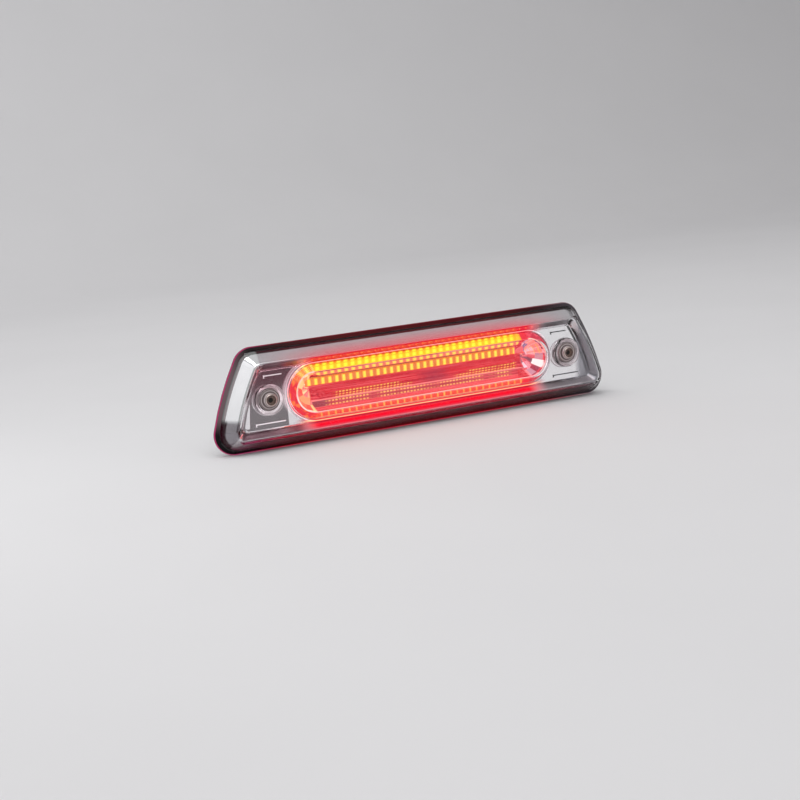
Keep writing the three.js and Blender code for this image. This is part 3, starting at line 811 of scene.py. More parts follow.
    # Ring: painted light, yellow over the row, red with uneven patches round the ends, dashes
    # along the foot.
    ring = g.times(g.step(depth, 12.2, 12.6), g.step(far, 16.5, 16.9))
    uneven_glow = g.step(g.noise(0.22, 2.0), 0.5, 0.62)
    around = g.beads(turn, 18, 0.5, 0.2)
    bend = g.times(left_end, upper_half, g.step(turn, 20, 75))
    uneven = g.span(g.noise(0.09, 2.0, 0.5, g.scaled_vector(1, 0, 0)), -0.35, 1.5)
    dash = g.times(g.beads(slant, BRAKE_PITCH, 0.24, 0.09), g.band(far, 18.0, 21.0, 0.6))
    dash = g.math("MULTIPLY", dash, uneven, clamp=True)
    row_one = g.paint(
        g.mix(g.step(far, 22.4, 19.2), (0.90, 0.12, 0.005), (1.0, 0.60, 0.01)),
        (bead, g.band(far, 20.1, 22.3, 0.4), (1.0, 0.90, 0.03)),
        (bead, g.band(far, 17.2, 19.7, 0.4), (1.0, 1.0, 0.04)),
        (g.step(g.x, 84, 94), 0.7, (1.0, 0.40, 0.03)),
    )
    bend_glow = g.mix(around, (1.0, 0.30, 0.03), (1.0, 0.80, 0.10))
    rim = g.times(g.band(far, 16.4, 17.2, 0.15), g.step(depth, 20.6, 21.0))
    glow = g.paint(
        glow,
        (ring, (0.78, 0.03, 0.05)),
        (ring, left_end, uneven_glow, (1.0, 0.20, 0.05)),
        (ring, right_end, g.mix(uneven_glow, (0.56, 0.03, 0.06), (0.80, 0.08, 0.12))),
        (ring, g.band(far, 17.6, 20.2, 0.8), straight, 0.45, (1.0, 0.16, 0.06)),
        (ring, dash, straight, (1.0, 0.62, 0.12)),
        (ring, g.step(far, 20.8, 21.2), straight, 0.9, (1.0, 0.60, 0.30)),
        (ring, bend, bend_glow),
        (ring, straight, upper_half, row_one),
        (rim, g.math("SUBTRACT", 1.0, upper_half), (1.0, 0.66, 0.62)),
        (rim, upper_half, at_end, (1.0, 0.60, 0.44)),
    )
    g.glow(glow)

    # Painted light: the plating's base is a dark red, as lit by the row, and paler and more
    # metallic in the end domes.
    base = g.mix(smear, (0.12, 0.008, 0.014), (0.20, 0.018, 0.028))
    white = g.times(inside, at_end)
    base = g.mix(g.times(white, 0.5), base, (0.55, 0.34, 0.38))
    g.set(
        Base_Color=base,
        Metallic=g.math("MULTIPLY_ADD", white, 0.6, 0.35),
        Roughness=g.span(g.noise(0.4, 3.0), 0.10, 0.24),
        IOR=1.2,
    )
    g.bump(g.noise(0.25, 2.0), 0.05, 0.5)
    return g.material


def broken_dots(g, scale, stretch, start, full, soft):
    """Painted dots of reflected light at half the pitch of the lights, left out where a noise is
    below start.
    """
    shown = g.step(g.noise(scale, 2.0, 0.5, g.scaled_vector(*stretch)), start, full)
    uneven = g.span(g.noise(0.22, 2.0), -0.1, 2.0)
    return g.times(g.beads(g.x, BRAKE_PITCH / 2, 0.56, soft), shown, uneven)


def plastic(name, dark, pale, rough, grain, depth):
    """Moulded plastic, rubber or board: mottled between two tones, with a fine grain."""
    g = Graph(name)
    g.set(
        Base_Color=g.mix(g.noise(0.07, 4.0), dark, pale),
        Roughness=g.span(g.noise(0.5, 4.0), *rough),
    )
    g.bump(g.noise(grain, 3.0), depth, 0.6)
    return g.material


def steel_material(name, tint):
    """Plated metal with worn, duller patches."""
    g = Graph(name)
    worn = g.noise(0.7, 5.0, 0.65)
    dark = tuple(0.6 * c for c in tint)
    g.set(Base_Color=g.mix(worn, dark, tint), Metallic=1.0, Roughness=g.span(worn, 0.2, 0.42))
    g.bump(g.noise(1.6, 3.0), 0.02, 0.5)
    return g.material


def turned_steel_material():
    """Turned heads and washers: fine rings round the axis, and a recess with painted shade,
    darkest at its centre, and a faint painted glow.
    """
    g = Graph("turned_steel")
    far = screw_distance(g)
    worn = g.noise(0.7, 5.0, 0.65)
    grooves = g.noise(1.0, 3.0, 0.6)
    rings = g.node("TexNoise", noise_dimensions="1D")
    g.put(rings.inputs["W"], far)
    rings.inputs["Scale"].default_value = 1.6
    rings.inputs["Detail"].default_value = 3.0
    ring = rings.outputs["Fac"]
    turned = g.beads(g.math("MULTIPLY_ADD", ring, 0.6, far), 1.9, 0.36, 0.14)
    tone = g.mix(turned, (0.20, 0.16, 0.16), (0.80, 0.71, 0.71))
    tone = g.mix(g.times(worn, 0.3), tone, (0.24, 0.18, 0.16))
    crown = g.times(g.step(far, 5.5, 5.0), g.step(g.depth, 22.0, 22.6))
    bronze = g.mix(g.band(far, 4.3, 4.9, 0.25), (0.16, 0.11, 0.10), (0.80, 0.68, 0.63))
    # Painted shade in the recess: near black at the centre, dark brown round it, and a faint
    # painted glow on its outer part.
    recess = g.times(g.step(far, 3.75, 3.3), g.step(g.depth, 23.38, 23.1))
    recess_shade = g.mix(g.step(far, 1.7, 2.5), (0.012, 0.007, 0.006), (0.16, 0.11, 0.09))
    base = g.mix(recess, g.mix(crown, tone, bronze), recess_shade)
    g.set(
        Base_Color=base,
        Metallic=g.math("MULTIPLY_ADD", crown, 0.60, 0.30),
        Roughness=g.math("MULTIPLY_ADD", grooves, 0.22, 0.22),
    )
    g.glow(g.mix(g.times(recess, g.step(far, 1.9, 2.4)), BLACK, (0.060, 0.040, 0.033)))
    g.bump(ring, 0.10, 0.7)
    return g.material


def foam_material():
    """Dark foam with closed cells."""
    g = Graph("closed_cell_foam")
    cells = g.cells(1.3)
    g.set(Base_Color=g.mix(cells, (0.012, 0.012, 0.013), (0.05, 0.05, 0.053)), Roughness=0.95)
    g.bump(cells, 0.25, 0.8)
    return g.material


def brake_optic_material():
    """The fluted bar over the lit row: an upright blob of light for each package."""
    g = Graph("lit_fluted_bar")
    bars = g.times(g.beads(g.x, BRAKE_PITCH, 0.42, 0.12), g.step(g.x, ROW_END + 1, ROW_END))
    tall = g.band(g.z, 4.2, 9.4, 0.5)
    glow = g.paint(
        g.mix(g.noise(0.5, 2.0), (0.62, 0.13, 0.02), (0.80, 0.25, 0.05)),
        (g.step(g.x, ROW_END, ROW_END + 1), (0.74, 0.12, 0.15)),
        (bars, tall, (1.0, 0.80, 0.07)),
        (g.band(g.z, 3.0, 4.0, 0.3), (0.70, 0.03, 0.04)),
    )
    g.set(Base_Color=(0.30, 0.07, 0.04), Roughness=g.span(g.noise(0.6), 0.08, 0.16), IOR=1.4)
    g.glow(glow)
    return g.material


def cargo_optic_material():
    """The unlit cargo bar, which only catches the brake row's light: painted red glow and orange
    dots, bright red edges and a darker left end.
    """
    g = Graph("cargo_bar")
    tip = g.step(g.out, 100.6, 101.6)
    edge = g.either(g.step(g.z, -9.5, -8.9), g.step(g.z, -14.0, -14.6), tip)
    lines = g.noise(1.0, 2.0, 0.5, g.scaled_vector(0.01, 1.2, 1.2))
    dots = broken_dots(g, 0.06, (0.6, 0, 0), 0.40, 0.50, 0.12)
    rows = g.either(g.band(g.z, -10.9, -9.8, 0.2), g.band(g.z, -13.9, -12.9, 0.2))
    oval = g.step(g.x, -84, -90)
    glow = g.paint(
        g.mix(g.noise(0.2, 3.0), (0.40, 0.02, 0.035), (0.56, 0.045, 0.06)),
        (g.step(lines, 0.5, 0.6), 0.7, (0.78, 0.10, 0.12)),
        (oval, 0.95, g.mix(g.noise(0.3, 2.0), (0.16, 0.02, 0.035), (0.28, 0.04, 0.06))),
        (dots, g.step(g.out, 92, 86), rows, (1.0, 0.64, 0.14)),
        (edge, (0.84, 0.22, 0.22)),
    )
    g.set(Base_Color=(0.22, 0.05, 0.06), Roughness=g.span(g.noise(0.6), 0.06, 0.14), IOR=1.4)
    g.glow(glow)
    return g.material


def led_material(name, colour, strength):
    """White package with a lit window."""
    g = Graph(name)
    g.set(Base_Color=g.mix(g.noise(1.5), (0.8, 0.8, 0.76), (0.9, 0.88, 0.8)), Roughness=0.4)
    core = g.step(g.depth, 2.9, 3.15)
    g.glow(g.mix(core, (0.05, 0.02, 0.0), colour), strength)
    return g.material


lens_material = clear_lens_material()
edge_band = edge_band_material()
chrome = chrome_material()
lit_reflector = reflector_material()
casing = plastic(
    "grained_black", (0.010, 0.010, 0.011), (0.022, 0.022, 0.024), (0.38, 0.58), 1.4, 0.08
)
foam = foam_material()
bead = plastic("adhesive_bead", (0.008, 0.008, 0.008), (0.016, 0.016, 0.017), (0.3, 0.6), 0.8, 0.1)
rubber = plastic(
    "matt_rubber", (0.012, 0.012, 0.012), (0.028, 0.028, 0.028), (0.7, 0.9), 2.0, 0.06
)
turned_steel = turned_steel_material()
fine_steel = steel_material("bright_zinc", (0.68, 0.67, 0.66))
brass = steel_material("tinned_brass", (0.72, 0.58, 0.34))
optic_lit = brake_optic_material()
optic_cargo = cargo_optic_material()
brake_core = led_material("brake_package", (1.0, 0.62, 0.06), 3.0)
cargo_core = led_material("cargo_package", (0.9, 0.8, 0.4), 0.15)
white_board = plastic("white_mask", (0.55, 0.55, 0.52), (0.72, 0.72, 0.69), (0.35, 0.5), 1.0, 0.03)
green_board = plastic(
    "green_mask", (0.008, 0.07, 0.03), (0.02, 0.13, 0.06), (0.3, 0.45), 1.0, 0.03
)
chip = plastic("moulded_chip", (0.012, 0.012, 0.013), (0.03, 0.03, 0.032), (0.5, 0.7), 3.0, 0.03)
can = plastic("sleeved_can", (0.03, 0.035, 0.05), (0.06, 0.068, 0.09), (0.25, 0.4), 0.8, 0.02)
red_lead = plastic(
    "red_insulation", (0.25, 0.012, 0.012), (0.4, 0.03, 0.03), (0.4, 0.55), 1.0, 0.03
)
pale_lead = plastic("pale_insulation", (0.5, 0.5, 0.47), (0.7, 0.7, 0.66), (0.4, 0.55), 1.0, 0.03)
nylon = plastic(
    "filled_nylon", (0.018, 0.018, 0.020), (0.045, 0.045, 0.048), (0.42, 0.6), 1.8, 0.07
)
membrane = plastic("porous_film", (0.6, 0.6, 0.57), (0.82, 0.82, 0.79), (0.85, 0.95), 4.0, 0.05)


# ---------- outer lens ----------

FACE_DEPTH = 18
UNDER_DEPTH = 15.9
# In metres, as they are compared with mesh points.
LIP_DEPTHS = (0.0044, 0.0056)
FLANGE_DEPTH = 0.0082


def outer_lens():
    """A shell with a bevelled rim, the raised window, and two wells through it."""
    shape = Shape()
    outer = [(0.1, 3.6), (0.1, 4.8), (0.6, 5.5), (3.1, 7.8), (10.5, 21.4), (11.3, 22.5)]
    outer += [(12.4, 22.9), (14.3, 22.9), (15.4, 22.3), (19.5, FACE_DEPTH)]
    rim, floor = shape.frame(softened(outer, 1.2))
    outer_points = len(shape.bm.verts)
    inner = [(2.3, 3.6), (2.3, 3.9), (4.9, 6.6), (12.3, 20.6), (14.2, 20.9)]
    inner = softened(inner + [(18.5, UNDER_DEPTH)], 0.8)
    inner_rim, inner_floor = shape.frame(inner)
    shape.bridge(rim, inner_rim)
    bubble = softened([(0, FACE_DEPTH), (0, 18.7), (0.6, 19.5), (6, 24.3), (7.2, 24.8)], 0.9)
    pill_base, pill_top = shape.pill(bubble)
    shape.cap(pill_top)
    under = softened([(2.1, UNDER_DEPTH), (2.1, 17.8), (7.3, 22.5), (8.2, 22.5)], 0.6)
    under_base, under_top = shape.pill(under)
    shape.cap(under_top)
    well = [(12.8, FACE_DEPTH), (12.8, 20), (12.2, 20.6), (10.6, 20.8), (10.2, 20.6)]
    well = softened(well, 0.35)
    well += softened([(10.0, 20.2), (9.6, 17.4), (5.2, 17.4), (5.2, 3.7), (7.2, 3.7)], 0.4)
    holes, under_holes = shape.wells(well + [(7.2, UNDER_DEPTH)])
    shape.plane(floor, pill_base, *holes)
    shape.plane(inner_floor, under_base, *under_holes)
    piece = shape.object("lens_shell", 40)
    finished(piece, "lamp", lens_material, "outer_lens")
    darken_flange(piece, outer_points)


def darken_flange(piece, outer_points):
    """The outside of the flange takes the painted dark band, and its lip is marked for the painted
    leak of light.
    """
    mesh = piece.data
    mesh.materials.append(edge_band)
    lip = mesh.attributes.new("lip", "FLOAT", "POINT")
    for i in range(outer_points):
        if LIP_DEPTHS[0] < -mesh.vertices[i].co.y < LIP_DEPTHS[1]:
            lip.data[i].value = 1.0
    for face in mesh.polygons:
        on_outside = all(i < outer_points for i in face.vertices)
        if on_outside and -face.center.y < FLANGE_DEPTH:
            face.material_index = 1


outer_lens()


# ---------- chrome bezel ----------

BEZEL_POSTS = [(-130, 17), (130, 17), (-130, -16), (130, -16)]
BEZEL_FLOOR = 15.2
BEZEL_BACK = 13.4
PAD_LINE_START = 128
PAD_LINES = ((16, 19.2), (26, -19.4))


def raised_line(shape, x, z, length, across):
    """A thin raised bar with round ends and a soft top."""
    rings = []
    for shrink, depth in ((0, BEZEL_FLOOR - 0.1), (0, 15.5), (0.12, 15.69), (0.28, 15.75)):
        tall = across / 2 - shrink
        rings.append((slot(x, z, length / 2 - shrink - tall, tall, 8), depth))
    shape.cap(*shape.skin(rings))


def sunk_facet(shape, points, slope):
    """A pocket in the bezel floor whose bottom leans to the right; returns its rim."""
    rim = shape.loop(points, BEZEL_FLOOR)
    start = min(x for x, _ in points)
    low = []
    for x, z in points:
        depth = BEZEL_FLOOR - 0.06 - slope * (x - start)
        low.append(shape.vert(x, z, depth))
    shape.bridge(rim, low)
    shape.cap(low)
    return rim


def end_pockets():
    """The curved sliver by the left bevel, and the corner between left pad and window."""
    sliver = [(-152.8, 12.5), (-155.0, 6), (-157.6, 0), (-160.2, -7), (-162.8, -14)]
    sliver += [(-165.0, -21.6), (-158.6, -22), (-157.8, -14), (-156.9, -7), (-156.0, 0)]
    sliver += [(-154.4, 6)]
    radius = WINDOW_RADIUS + 0.9
    corner = [(-125.4, -23.7), (-125.4, -7)]
    for k in range(13):
        angle = math.radians(-162 + 78 * k / 12)
        x = -WINDOW_X + radius * math.cos(angle)
        corner.append((x, max(WINDOW_Z + radius * math.sin(angle), -23.7)))
    return ((sliver, 0.12), (corner, 0.072))


def bezel():
    """The plated frame with its window opening, ring lines, pad lines and four screw posts."""
    shape = Shape()
    face = [(5.4, 3.8), (5.4, 6.6), (12.6, 20), (13.3, 20.4), (13.9, 20.4)]
    face = softened(face + [(18.4, BEZEL_FLOOR)], 0.6)
    rim, floor = shape.frame(face)
    back = [(7.2, 3.8), (7.2, 6.1), (13.7, 17.9), (17.5, BEZEL_BACK)]
    back_rim, back_floor = shape.frame(back)
    shape.bridge(rim, back_rim)
    edge = [(1.7, BEZEL_FLOOR), (2.0, 14.9), (2.0, BEZEL_BACK)]
    opening, back_opening = shape.pill(edge)
    rings = [(13.2, BEZEL_FLOOR), (13.0, 15.0), (12.1, 15.0), (11.9, 15.25), (11.3, 15.25)]
    rings += [(11.1, 14.7), (10.5, 14.7), (10.3, 15.25), (9.4, 15.25), (9.2, 14.9)]
    rings += [(8.4, 14.9), (8.1, BEZEL_FLOOR), (8.0, 15.0), (8.0, BEZEL_BACK)]
    holes, back_holes = shape.wells(rings)
    pockets = [sunk_facet(shape, points, slope) for points, slope in end_pockets()]
    shape.plane(floor, opening, *holes, *pockets)
    shape.plane(back_floor, back_opening, *back_holes)
    for _, side in SIDES:
        for length, z in PAD_LINES:
            middle = side * (PAD_LINE_START + length / 2)
            raised_line(shape, middle, z, length, 0.9)
            raised_line(shape, middle - length / 2 + 0.4, z - 0.6, 0.9, 2.4)
    for x, z in BEZEL_POSTS:
        post = [(3.2, 13.45), (3.2, 3.8), (3.0, 3.6)]
        bore = [(1.15, 13.45), (1.15, 3.6)]
        shape.tube(x, z, bore, post, 32)
    return shape.object("bezel_trim", 30)


finished(bezel(), "lamp", chrome, "chrome_bezel")


# ---------- reflector ----------

LED_SCREWS = [(-88, 12.3), (88, 12.3), (-88, -5.9), (88, -5.9)]
TROUGH_END = 95.5
DOME_PANELS = 18
HOLLOW_RADIUS = 16.4
HOLLOW_FLOOR = 5.2
CUTTER_FRONT = 24


def trough_cutter():
    """The hollow between the end domes; every light has its own shallow scallop."""
    top = WINDOW_Z + HOLLOW_RADIUS
    bottom = WINDOW_Z - HOLLOW_RADIUS
    section = [(top, CUTTER_FRONT), (top, 20.5), (16.9, 19.4), (16.3, 18.9), (16.2, 17.0)]
    section += [(14.3, 15.6), (12.4, 13.6), (12.2, 8.0), (11.0, HOLLOW_FLOOR)]
    section += [(2.4, HOLLOW_FLOOR), (0.6, 5.8), (-1, 7.2), (-2.2, 9.4), (-2.6, 11.6)]
    section += [(-4.2, 10.4), (-5.4, 10.8), (-6.8, 9.2), (-7.9, 9.4), (-7.9, 5)]
    section += [(bottom, 5), (bottom, CUTTER_FRONT)]
    steps = BRAKE_COUNT * 6
    places = [-WINDOW_X + 2 * WINDOW_X * i / steps for i in range(steps + 1)]
    shape = Shape()
    columns = []
    for x in [place for place in places if place < TROUGH_END] + [TROUGH_END]:
        phase = (x + WINDOW_X) / BRAKE_PITCH
        swell = 0.28 * math.sin(math.pi * (phase % 1.0))
        column = []
        for z, depth in section:
            scalloped = 5.9 < depth < 20
            column.append(shape.vert(x, z, depth - (swell if scalloped else 0)))
        columns.append(column)
    shape.cap(*shape.join(columns))
    return shape.object("trough_cutter", None)


def dome_cutter(side):
    """A faceted bowl: flat panels in rings, with the second ring turned by half a panel."""
    shape = Shape()
    profile = [(1.6, HOLLOW_FLOOR), (6.6, 6.3), (12.2, 10.2), (16.0, 18.0)]
    profile += [(HOLLOW_RADIUS, 20), (HOLLOW_RADIUS, CUTTER_FRONT)]
    rings = []
    for row, (radius, depth) in enumerate(profile):
        turn = math.pi / DOME_PANELS if row == 1 else 0
        points = []
        for k in range(DOME_PANELS):
            angle = 2 * math.pi * k / DOME_PANELS + turn
            x = side * WINDOW_X + radius * math.cos(angle)
            points.append((x, WINDOW_Z + radius * math.sin(angle)))
        rings.append((points, depth))
    shape.cap(*shape.skin(rings))
    return shape.object(f"dome_cutter_{side + 1}", None)


def reflector():
    """The stepped bowl, less its hollows, the slots for both optics and four screw holes."""
    shape = Shape()
    profile = [(5, 2.4), (5, 11.4), (0.6, 11.4), (0.6, 13.1), (2.7, 13.1), (2.7, 17)]
    profile += [(7.1, 21.4), (7.6, 21.6), (8.4, 21.6)]
    shape.cap(*shape.pill(softened(profile, 0.35, 2)))
    piece = shape.object("reflector_bowl", None)
    slots = Shape()
    slots.block(0, BRAKE_Z, 2 * WINDOW_X + 7, 7.6, 1, 8)
    for x, z in LED_SCREWS:
        slots.solid_pin(x, z, [(1, 1), (1, 4.6)], 12)
    bar = round_bar(103.4, 3.7, 16)
    cargo = Shape()
    cargo.cap(*cargo.skin([(bar, 1), (bar, 10)]))
    cutters = [trough_cutter(), dome_cutter(-1), dome_cutter(1)]
    cutters += [slots.object("slots", None), cargo.object("cargo_slot", None)]
    carve(piece, cutters)
    number_panels(piece.data)
    shade(piece, 18)
    return piece


def number_panels(mesh):
    """Faces that lie in one plane get one number from 0 to 1, kept as an attribute."""
    numbers = mesh.attributes.new("facet", "FLOAT", "FACE")
    for face in mesh.polygons:
        plane = [round(v, 2) for v in face.normal] + [round(face.center.dot(face.normal), 4)]
        numbers.data[face.index].value = random.Random(str(plane)).random()


finished(reflector(), "lamp", lit_reflector, "reflector")


# ---------- optics and lights ----------

BOARD_FACE = 2.05


def brake_optic():
    """Clear bar in front of the lit row, with one round flute for each light."""
    shape = Shape()
    left = -WINDOW_X - BRAKE_PITCH / 2
    steps = 8
    edge = 0.45
    columns = []
    for k in range(BRAKE_COUNT * steps + 1):
        x = left + k * BRAKE_PITCH / steps
        crown = 5.6 + 1.2 * math.sin(math.pi * (k % steps) / steps)
        section = [(3.5, 3.6), (3.5, crown - edge), (3.5 + edge, crown), (10.1 - edge, crown)]
        section += [(10.1, crown - edge), (10.1, 3.6)]
        columns.append([shape.vert(x, z, depth) for z, depth in section])
    shape.cap(*shape.join(columns))
    return shape.object("fluted_bar", 50)


def cargo_optic():
    """Clear bar with round ends and a rounded front edge."""
    shape = Shape()
    profile = softened([(0, 3.6), (0, 8.2), (0.9, 9.0), (1.6, 9.0)], 0.5)
    rings = [(round_bar(102.6 - inset, 3.1 - inset, 24), depth) for inset, depth in profile]
    shape.cap(*shape.skin(rings))
    return shape.object("cargo_bar", 40)


def light_row(name, count, pitch, z, size):
    """Packages with a raised lit window, joined by their thin carrier."""
    shape = Shape()
    shape.block(0, z, (count - 1) * pitch + size, 1.4, BOARD_FACE, 2.3)
    for i in range(count):
        x = (i - (count - 1) / 2) * pitch
        shape.block(x, z, size, size, BOARD_FACE, 2.85, 0.12)
        shape.solid_pin(x, z, [(size * 0.4, 2.8), (size * 0.4, 3.0), (size * 0.34, 3.2)], 20)
    return shape.object(name, 35)


finished(brake_optic(), "lamp", optic_lit, "brake_optic")
finished(cargo_optic(), "lamp", optic_cargo, "cargo_optic")
row = light_row("brake_packages", BRAKE_COUNT, BRAKE_PITCH, BRAKE_Z, 3)
finished(row, "lamp", brake_core, "brake_leds")
row = light_row("cargo_packages", CARGO_COUNT, CARGO_PITCH, CARGO_Z, 5)
finished(row, "lamp", cargo_core, "cargo_leds")


# ---------- mounting screws and washers ----------

SCREW_SEGMENTS = 72
LOBES = 6
# Thread: its inner end, turns, steps a turn, root radius, height and half width.
THREAD_START = -12.9
THREAD_TURNS = 13
THREAD_STEPS = 36
THREAD_ROOT = 2.5
THREAD_RIDGE = 0.46
THREAD_HALF = 0.42


def six_lobe(x, radius, swing):
    """The recess outline: a circle whose radius swings once for each lobe."""
    loop = []
    for i in range(SCREW_SEGMENTS):
        angle = 2 * math.pi * i / SCREW_SEGMENTS
        r = radius + swing * math.cos(LOBES * angle)
        loop.append((x + r * math.cos(angle), r * math.sin(angle)))
    return loop


def mounting_screw(name, side):
    """Domed head with a six-lobe recess, plain neck, and a thread behind the seat plane."""
    x = side * SCREW_X
    shape = Shape()
    head = [(2.9, 19.95), (6.3, 19.95), (6.3, 20.9), (5.7, 21.3), (5.3, 22.6), (4.5, 23.3)]
    turned = [(1.9, -14.0), (2.9, -12.6), (2.9, -12.4)] + softened(head + [(3.7, 23.5)], 0.45)
    rings = [(circle(x, 0, r, SCREW_SEGMENTS), d) for r, d in turned]
    lobes = [(3.05, 0.47, 23.45), (2.9, 0.45, 23.2), (2.85, 0.45, 21.3), (1.4, 0.1, 20.95)]
    rings += [(six_lobe(x, r, swing), d) for r, swing, d in lobes]
    shape.cap(*shape.skin(rings))
    # The ridge climbs one millimetre a turn. It fades in over the first turn, out over the last.
    ridge = []
    for i in range(THREAD_TURNS * THREAD_STEPS + 1):
        turn = i / THREAD_STEPS
        across = math.cos(2 * math.pi * turn)
        up = math.sin(2 * math.pi * turn)
        crest = THREAD_ROOT + 0.02 + THREAD_RIDGE * min(1, turn, THREAD_TURNS - turn)
        profile = ((THREAD_ROOT, -THREAD_HALF), (crest, 0), (THREAD_ROOT, THREAD_HALF))
        section = []
        for r, shift in profile:
            section.append(shape.vert(x + r * across, r * up, THREAD_START + turn + shift))
        ridge.append(section)
    shape.cap(*shape.join(ridge))
    return shape.object(name, 35)


def washers(side_name, side):
    """The dished captive washer and the rubber washer under it."""
    x = side * SCREW_X
    body = f"{side_name}_washer"
    dish = Shape()
    inner = [(3.3, 18.6), (3.3, 19.7)]
    outer = softened([(8.6, 18.6), (9.0, 18.9), (9.0, 19.3), (8.6, 19.75), (8.1, 19.8)], 0.3)
    outer += [(7.9, 19.55), (7.5, 19.55), (7.3, 19.8), (6.9, 19.8), (6.7, 19.6), (3.4, 19.6)]
    dish.tube(x, 0, inner, outer, 72)
    disc = dish.object(f"washer_{side_name}", 35)
    finished(disc, body, turned_steel, f"captive_washer_{side_name}")
    seal = Shape()
    inner = [(5.6, 17.55), (5.6, 18.45)]
    outer = softened([(5.7, 17.5), (9.2, 17.5), (9.2, 18.5), (5.7, 18.5)], 0.35)
    seal.tube(x, 0, inner, outer, 64)
    ring = seal.object(f"washer_seal_{side_name}", 35)
    finished(ring, body, rubber, f"sealing_washer_{side_name}")


for side_name, side in SIDES:
    screw = mounting_screw(f"screw_{side_name}", side)
    body = f"{side_name}_screw"
    finished(screw, body, turned_steel, f"mounting_screw_{side_name}")
    washers(side_name, side)


# ---------- casing and what is behind the lens ----------

edged("casing", "rear_housing", 0.35, casing)
edged("cab_gasket", "rear_gasket", 0.25, foam)
edged("lens_bead", "lens_seal", 0.2, bead)
edged("inlet_shell", "connector_header", 0.35, nylon)
edged("vent", "vent_cap", 0.2, nylon)
edged("driver_pcb", "driver_board", 0.15, green_board)
for part in ("brake", "cargo"):
    edged(f"{part}_pcb", f"{part}_led_board", 0.15, white_board)
    edged(f"{part}_chip", f"{part}_regulator", 0.25, chip)
    edged(f"{part}_can", f"{part}_capacitor", 0.2, can)
edged("brake_ribbon", "brake_lead", 0.1, red_lead)
edged("cargo_ribbon", "cargo_lead", 0.1, pale_lead)
edged("film", "vent_membrane", 0.08, membrane)
for pin in ("brake", "ground", "cargo"):
    edged(f"blade_{pin}", f"terminal_{pin}", 0.12, brass)
for side_name, _ in SIDES:
    edged(f"sleeve_{side_name}", f"screw_sleeve_{side_name}", 0.2, fine_steel)
for i in range(4):
    edged(f"bezel_fixing_{i + 1}", f"bezel_screw_{i + 1}", 0.25, fine_steel)
    edged(f"board_fixing_{i + 1}", f"board_screw_{i + 1}", 0.15, fine_steel)
for i in range(2):
    edged(f"driver_fixing_{i + 1}", f"driver_screw_{i + 1}", 0.2, fine_steel)


# ---------- stage, light and camera ----------

# The sweep, in metres.
FLOOR_Z = -HALF_HEIGHT * MM
FLOOR_REACH = 9.0
BEND_START = 1.6
BEND_RADIUS = 0.9
BEND_STEPS = 24
BACKDROP_TOP = 3.2


def stage():
    """A pale floor that curves up into a backdrop."""
    bm = bmesh.new()
    line = [(-FLOOR_REACH, 0.0), (BEND_START, 0.0)]
    for k in range(1, BEND_STEPS + 1):
        turn = math.pi / 2 * k / BEND_STEPS
        y = BEND_START + BEND_RADIUS * math.sin(turn)
        line.append((y, BEND_RADIUS - BEND_RADIUS * math.cos(turn)))
    line.append((BEND_START + BEND_RADIUS, BACKDROP_TOP))
    rows = []
    for y, z in line:
        rows.append([bm.verts.new((x, y, FLOOR_Z + z)) for x in (-FLOOR_REACH, FLOOR_REACH)])
    for a, b in zip(rows, rows[1:]):
        bm.faces.new((a[0], a[1], b[1], b[0]))
    mesh = bpy.data.meshes.new("sweep")
    bm.to_mesh(mesh)
    bm.free()
    mesh.shade_smooth()
    sweep = placed("sweep", mesh)
    g = Graph("studio_paper")
    g.set(
        Base_Color=g.mix(g.noise(0.004, 3.0), (0.78, 0.78, 0.79), (0.82, 0.82, 0.83)),
        Roughness=g.span(g.noise(0.02, 3.0), 0.75, 0.9),
    )
    mesh.materials.append(g.material)


def soft_light(name, place, aim, width, height, watts):
    """A rectangular lamp, in metres and watts, that the camera doesn't see."""
    data = bpy.data.lights.new(name, "AREA")
    data.shape = "RECTANGLE"
    data.size = width
    data.size_y = height
    data.energy = watts
    lamp = placed(name, data)
    lamp.location = place
    lamp.rotation_euler = (Vector(aim) - Vector(place)).to_track_quat("-Z", "Y").to_euler()
    lamp.visible_camera = False


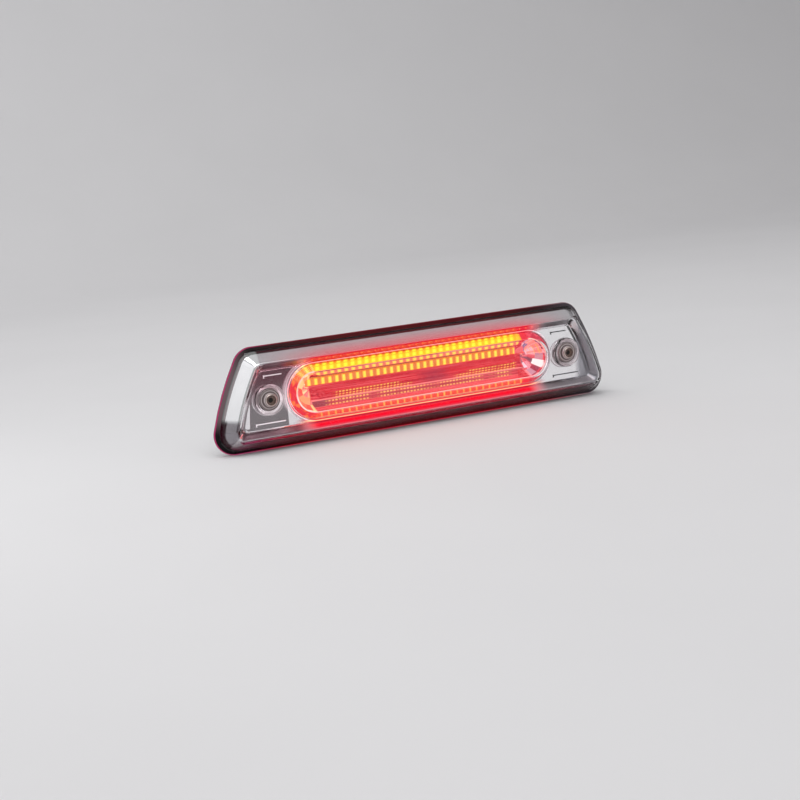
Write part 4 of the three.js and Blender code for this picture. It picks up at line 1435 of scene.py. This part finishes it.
def studio_world():
    """Soft surroundings that are brighter overhead than at eye level."""
    world = bpy.data.worlds.new("studio")
    world.use_nodes = True
    tree = world.node_tree
    split = tree.nodes.new("ShaderNodeSeparateXYZ")
    tree.links.new(tree.nodes.new("ShaderNodeTexCoord").outputs["Generated"], split.inputs[0])
    fade = tree.nodes.new("ShaderNodeMapRange")
    fade.interpolation_type = "SMOOTHSTEP"
    fade.inputs["From Min"].default_value = 0.1
    fade.inputs["From Max"].default_value = 0.9
    fade.inputs["To Min"].default_value = 0.22
    fade.inputs["To Max"].default_value = 0.50
    tree.links.new(split.outputs[2], fade.inputs["Value"])
    tree.links.new(fade.outputs[0], tree.nodes["Background"].inputs["Strength"])
    tree.nodes["Background"].inputs["Color"].default_value = (1.0, 0.98, 0.99, 1)
    bpy.context.scene.world = world


stage()
soft_light("overhead", (-0.5, -0.9, 2.1), (-0.2, -0.2, 0), 2.3, 2.3, 24)
soft_light("front_right", (1.45, -1.80, 0.40), (0.1, 0, 0.0), 1.6, 0.8, 2.6)
soft_light("left_card", (-0.64, 0.02, 0.24), (-0.17, 0, 0), 0.56, 0.56, 0.52)
soft_light("backdrop_wash", (-0.9, 0.6, 2.4), (0.2, 2.4, 0.9), 1.6, 0.8, 14)
studio_world()
bpy.context.scene.view_settings.view_transform = "Standard"

CAMERA_AZIMUTH = math.radians(-25.46)
CAMERA_ELEVATION = math.radians(9.92)
CAMERA_ROLL = math.radians(4.80)
CAMERA_DISTANCE = 1.23
CAMERA_AIM = Vector((-0.01662, 0, -0.02146))
FOCAL_LENGTH = 64.65
SENSOR_WIDTH = 36

# From the aim point towards the camera.
level_share = math.cos(CAMERA_ELEVATION)
back_x = math.sin(CAMERA_AZIMUTH) * level_share
back_y = -math.cos(CAMERA_AZIMUTH) * level_share
back = Vector((back_x, back_y, math.sin(CAMERA_ELEVATION)))
level = (-back).cross(Vector((0, 0, 1))).normalized()
upright = level.cross(-back)
right = level * math.cos(CAMERA_ROLL) - upright * math.sin(CAMERA_ROLL)
up = level * math.sin(CAMERA_ROLL) + upright * math.cos(CAMERA_ROLL)
camera_data = bpy.data.cameras.new("camera")
camera_data.lens = FOCAL_LENGTH
camera_data.sensor_width = SENSOR_WIDTH
camera_data.clip_start = 0.01
camera = placed("camera", camera_data)
turned = Matrix((right, up, back)).transposed().to_4x4()
camera.matrix_world = Matrix.Translation(CAMERA_AIM + back * CAMERA_DISTANCE) @ turned
bpy.context.scene.camera = camera
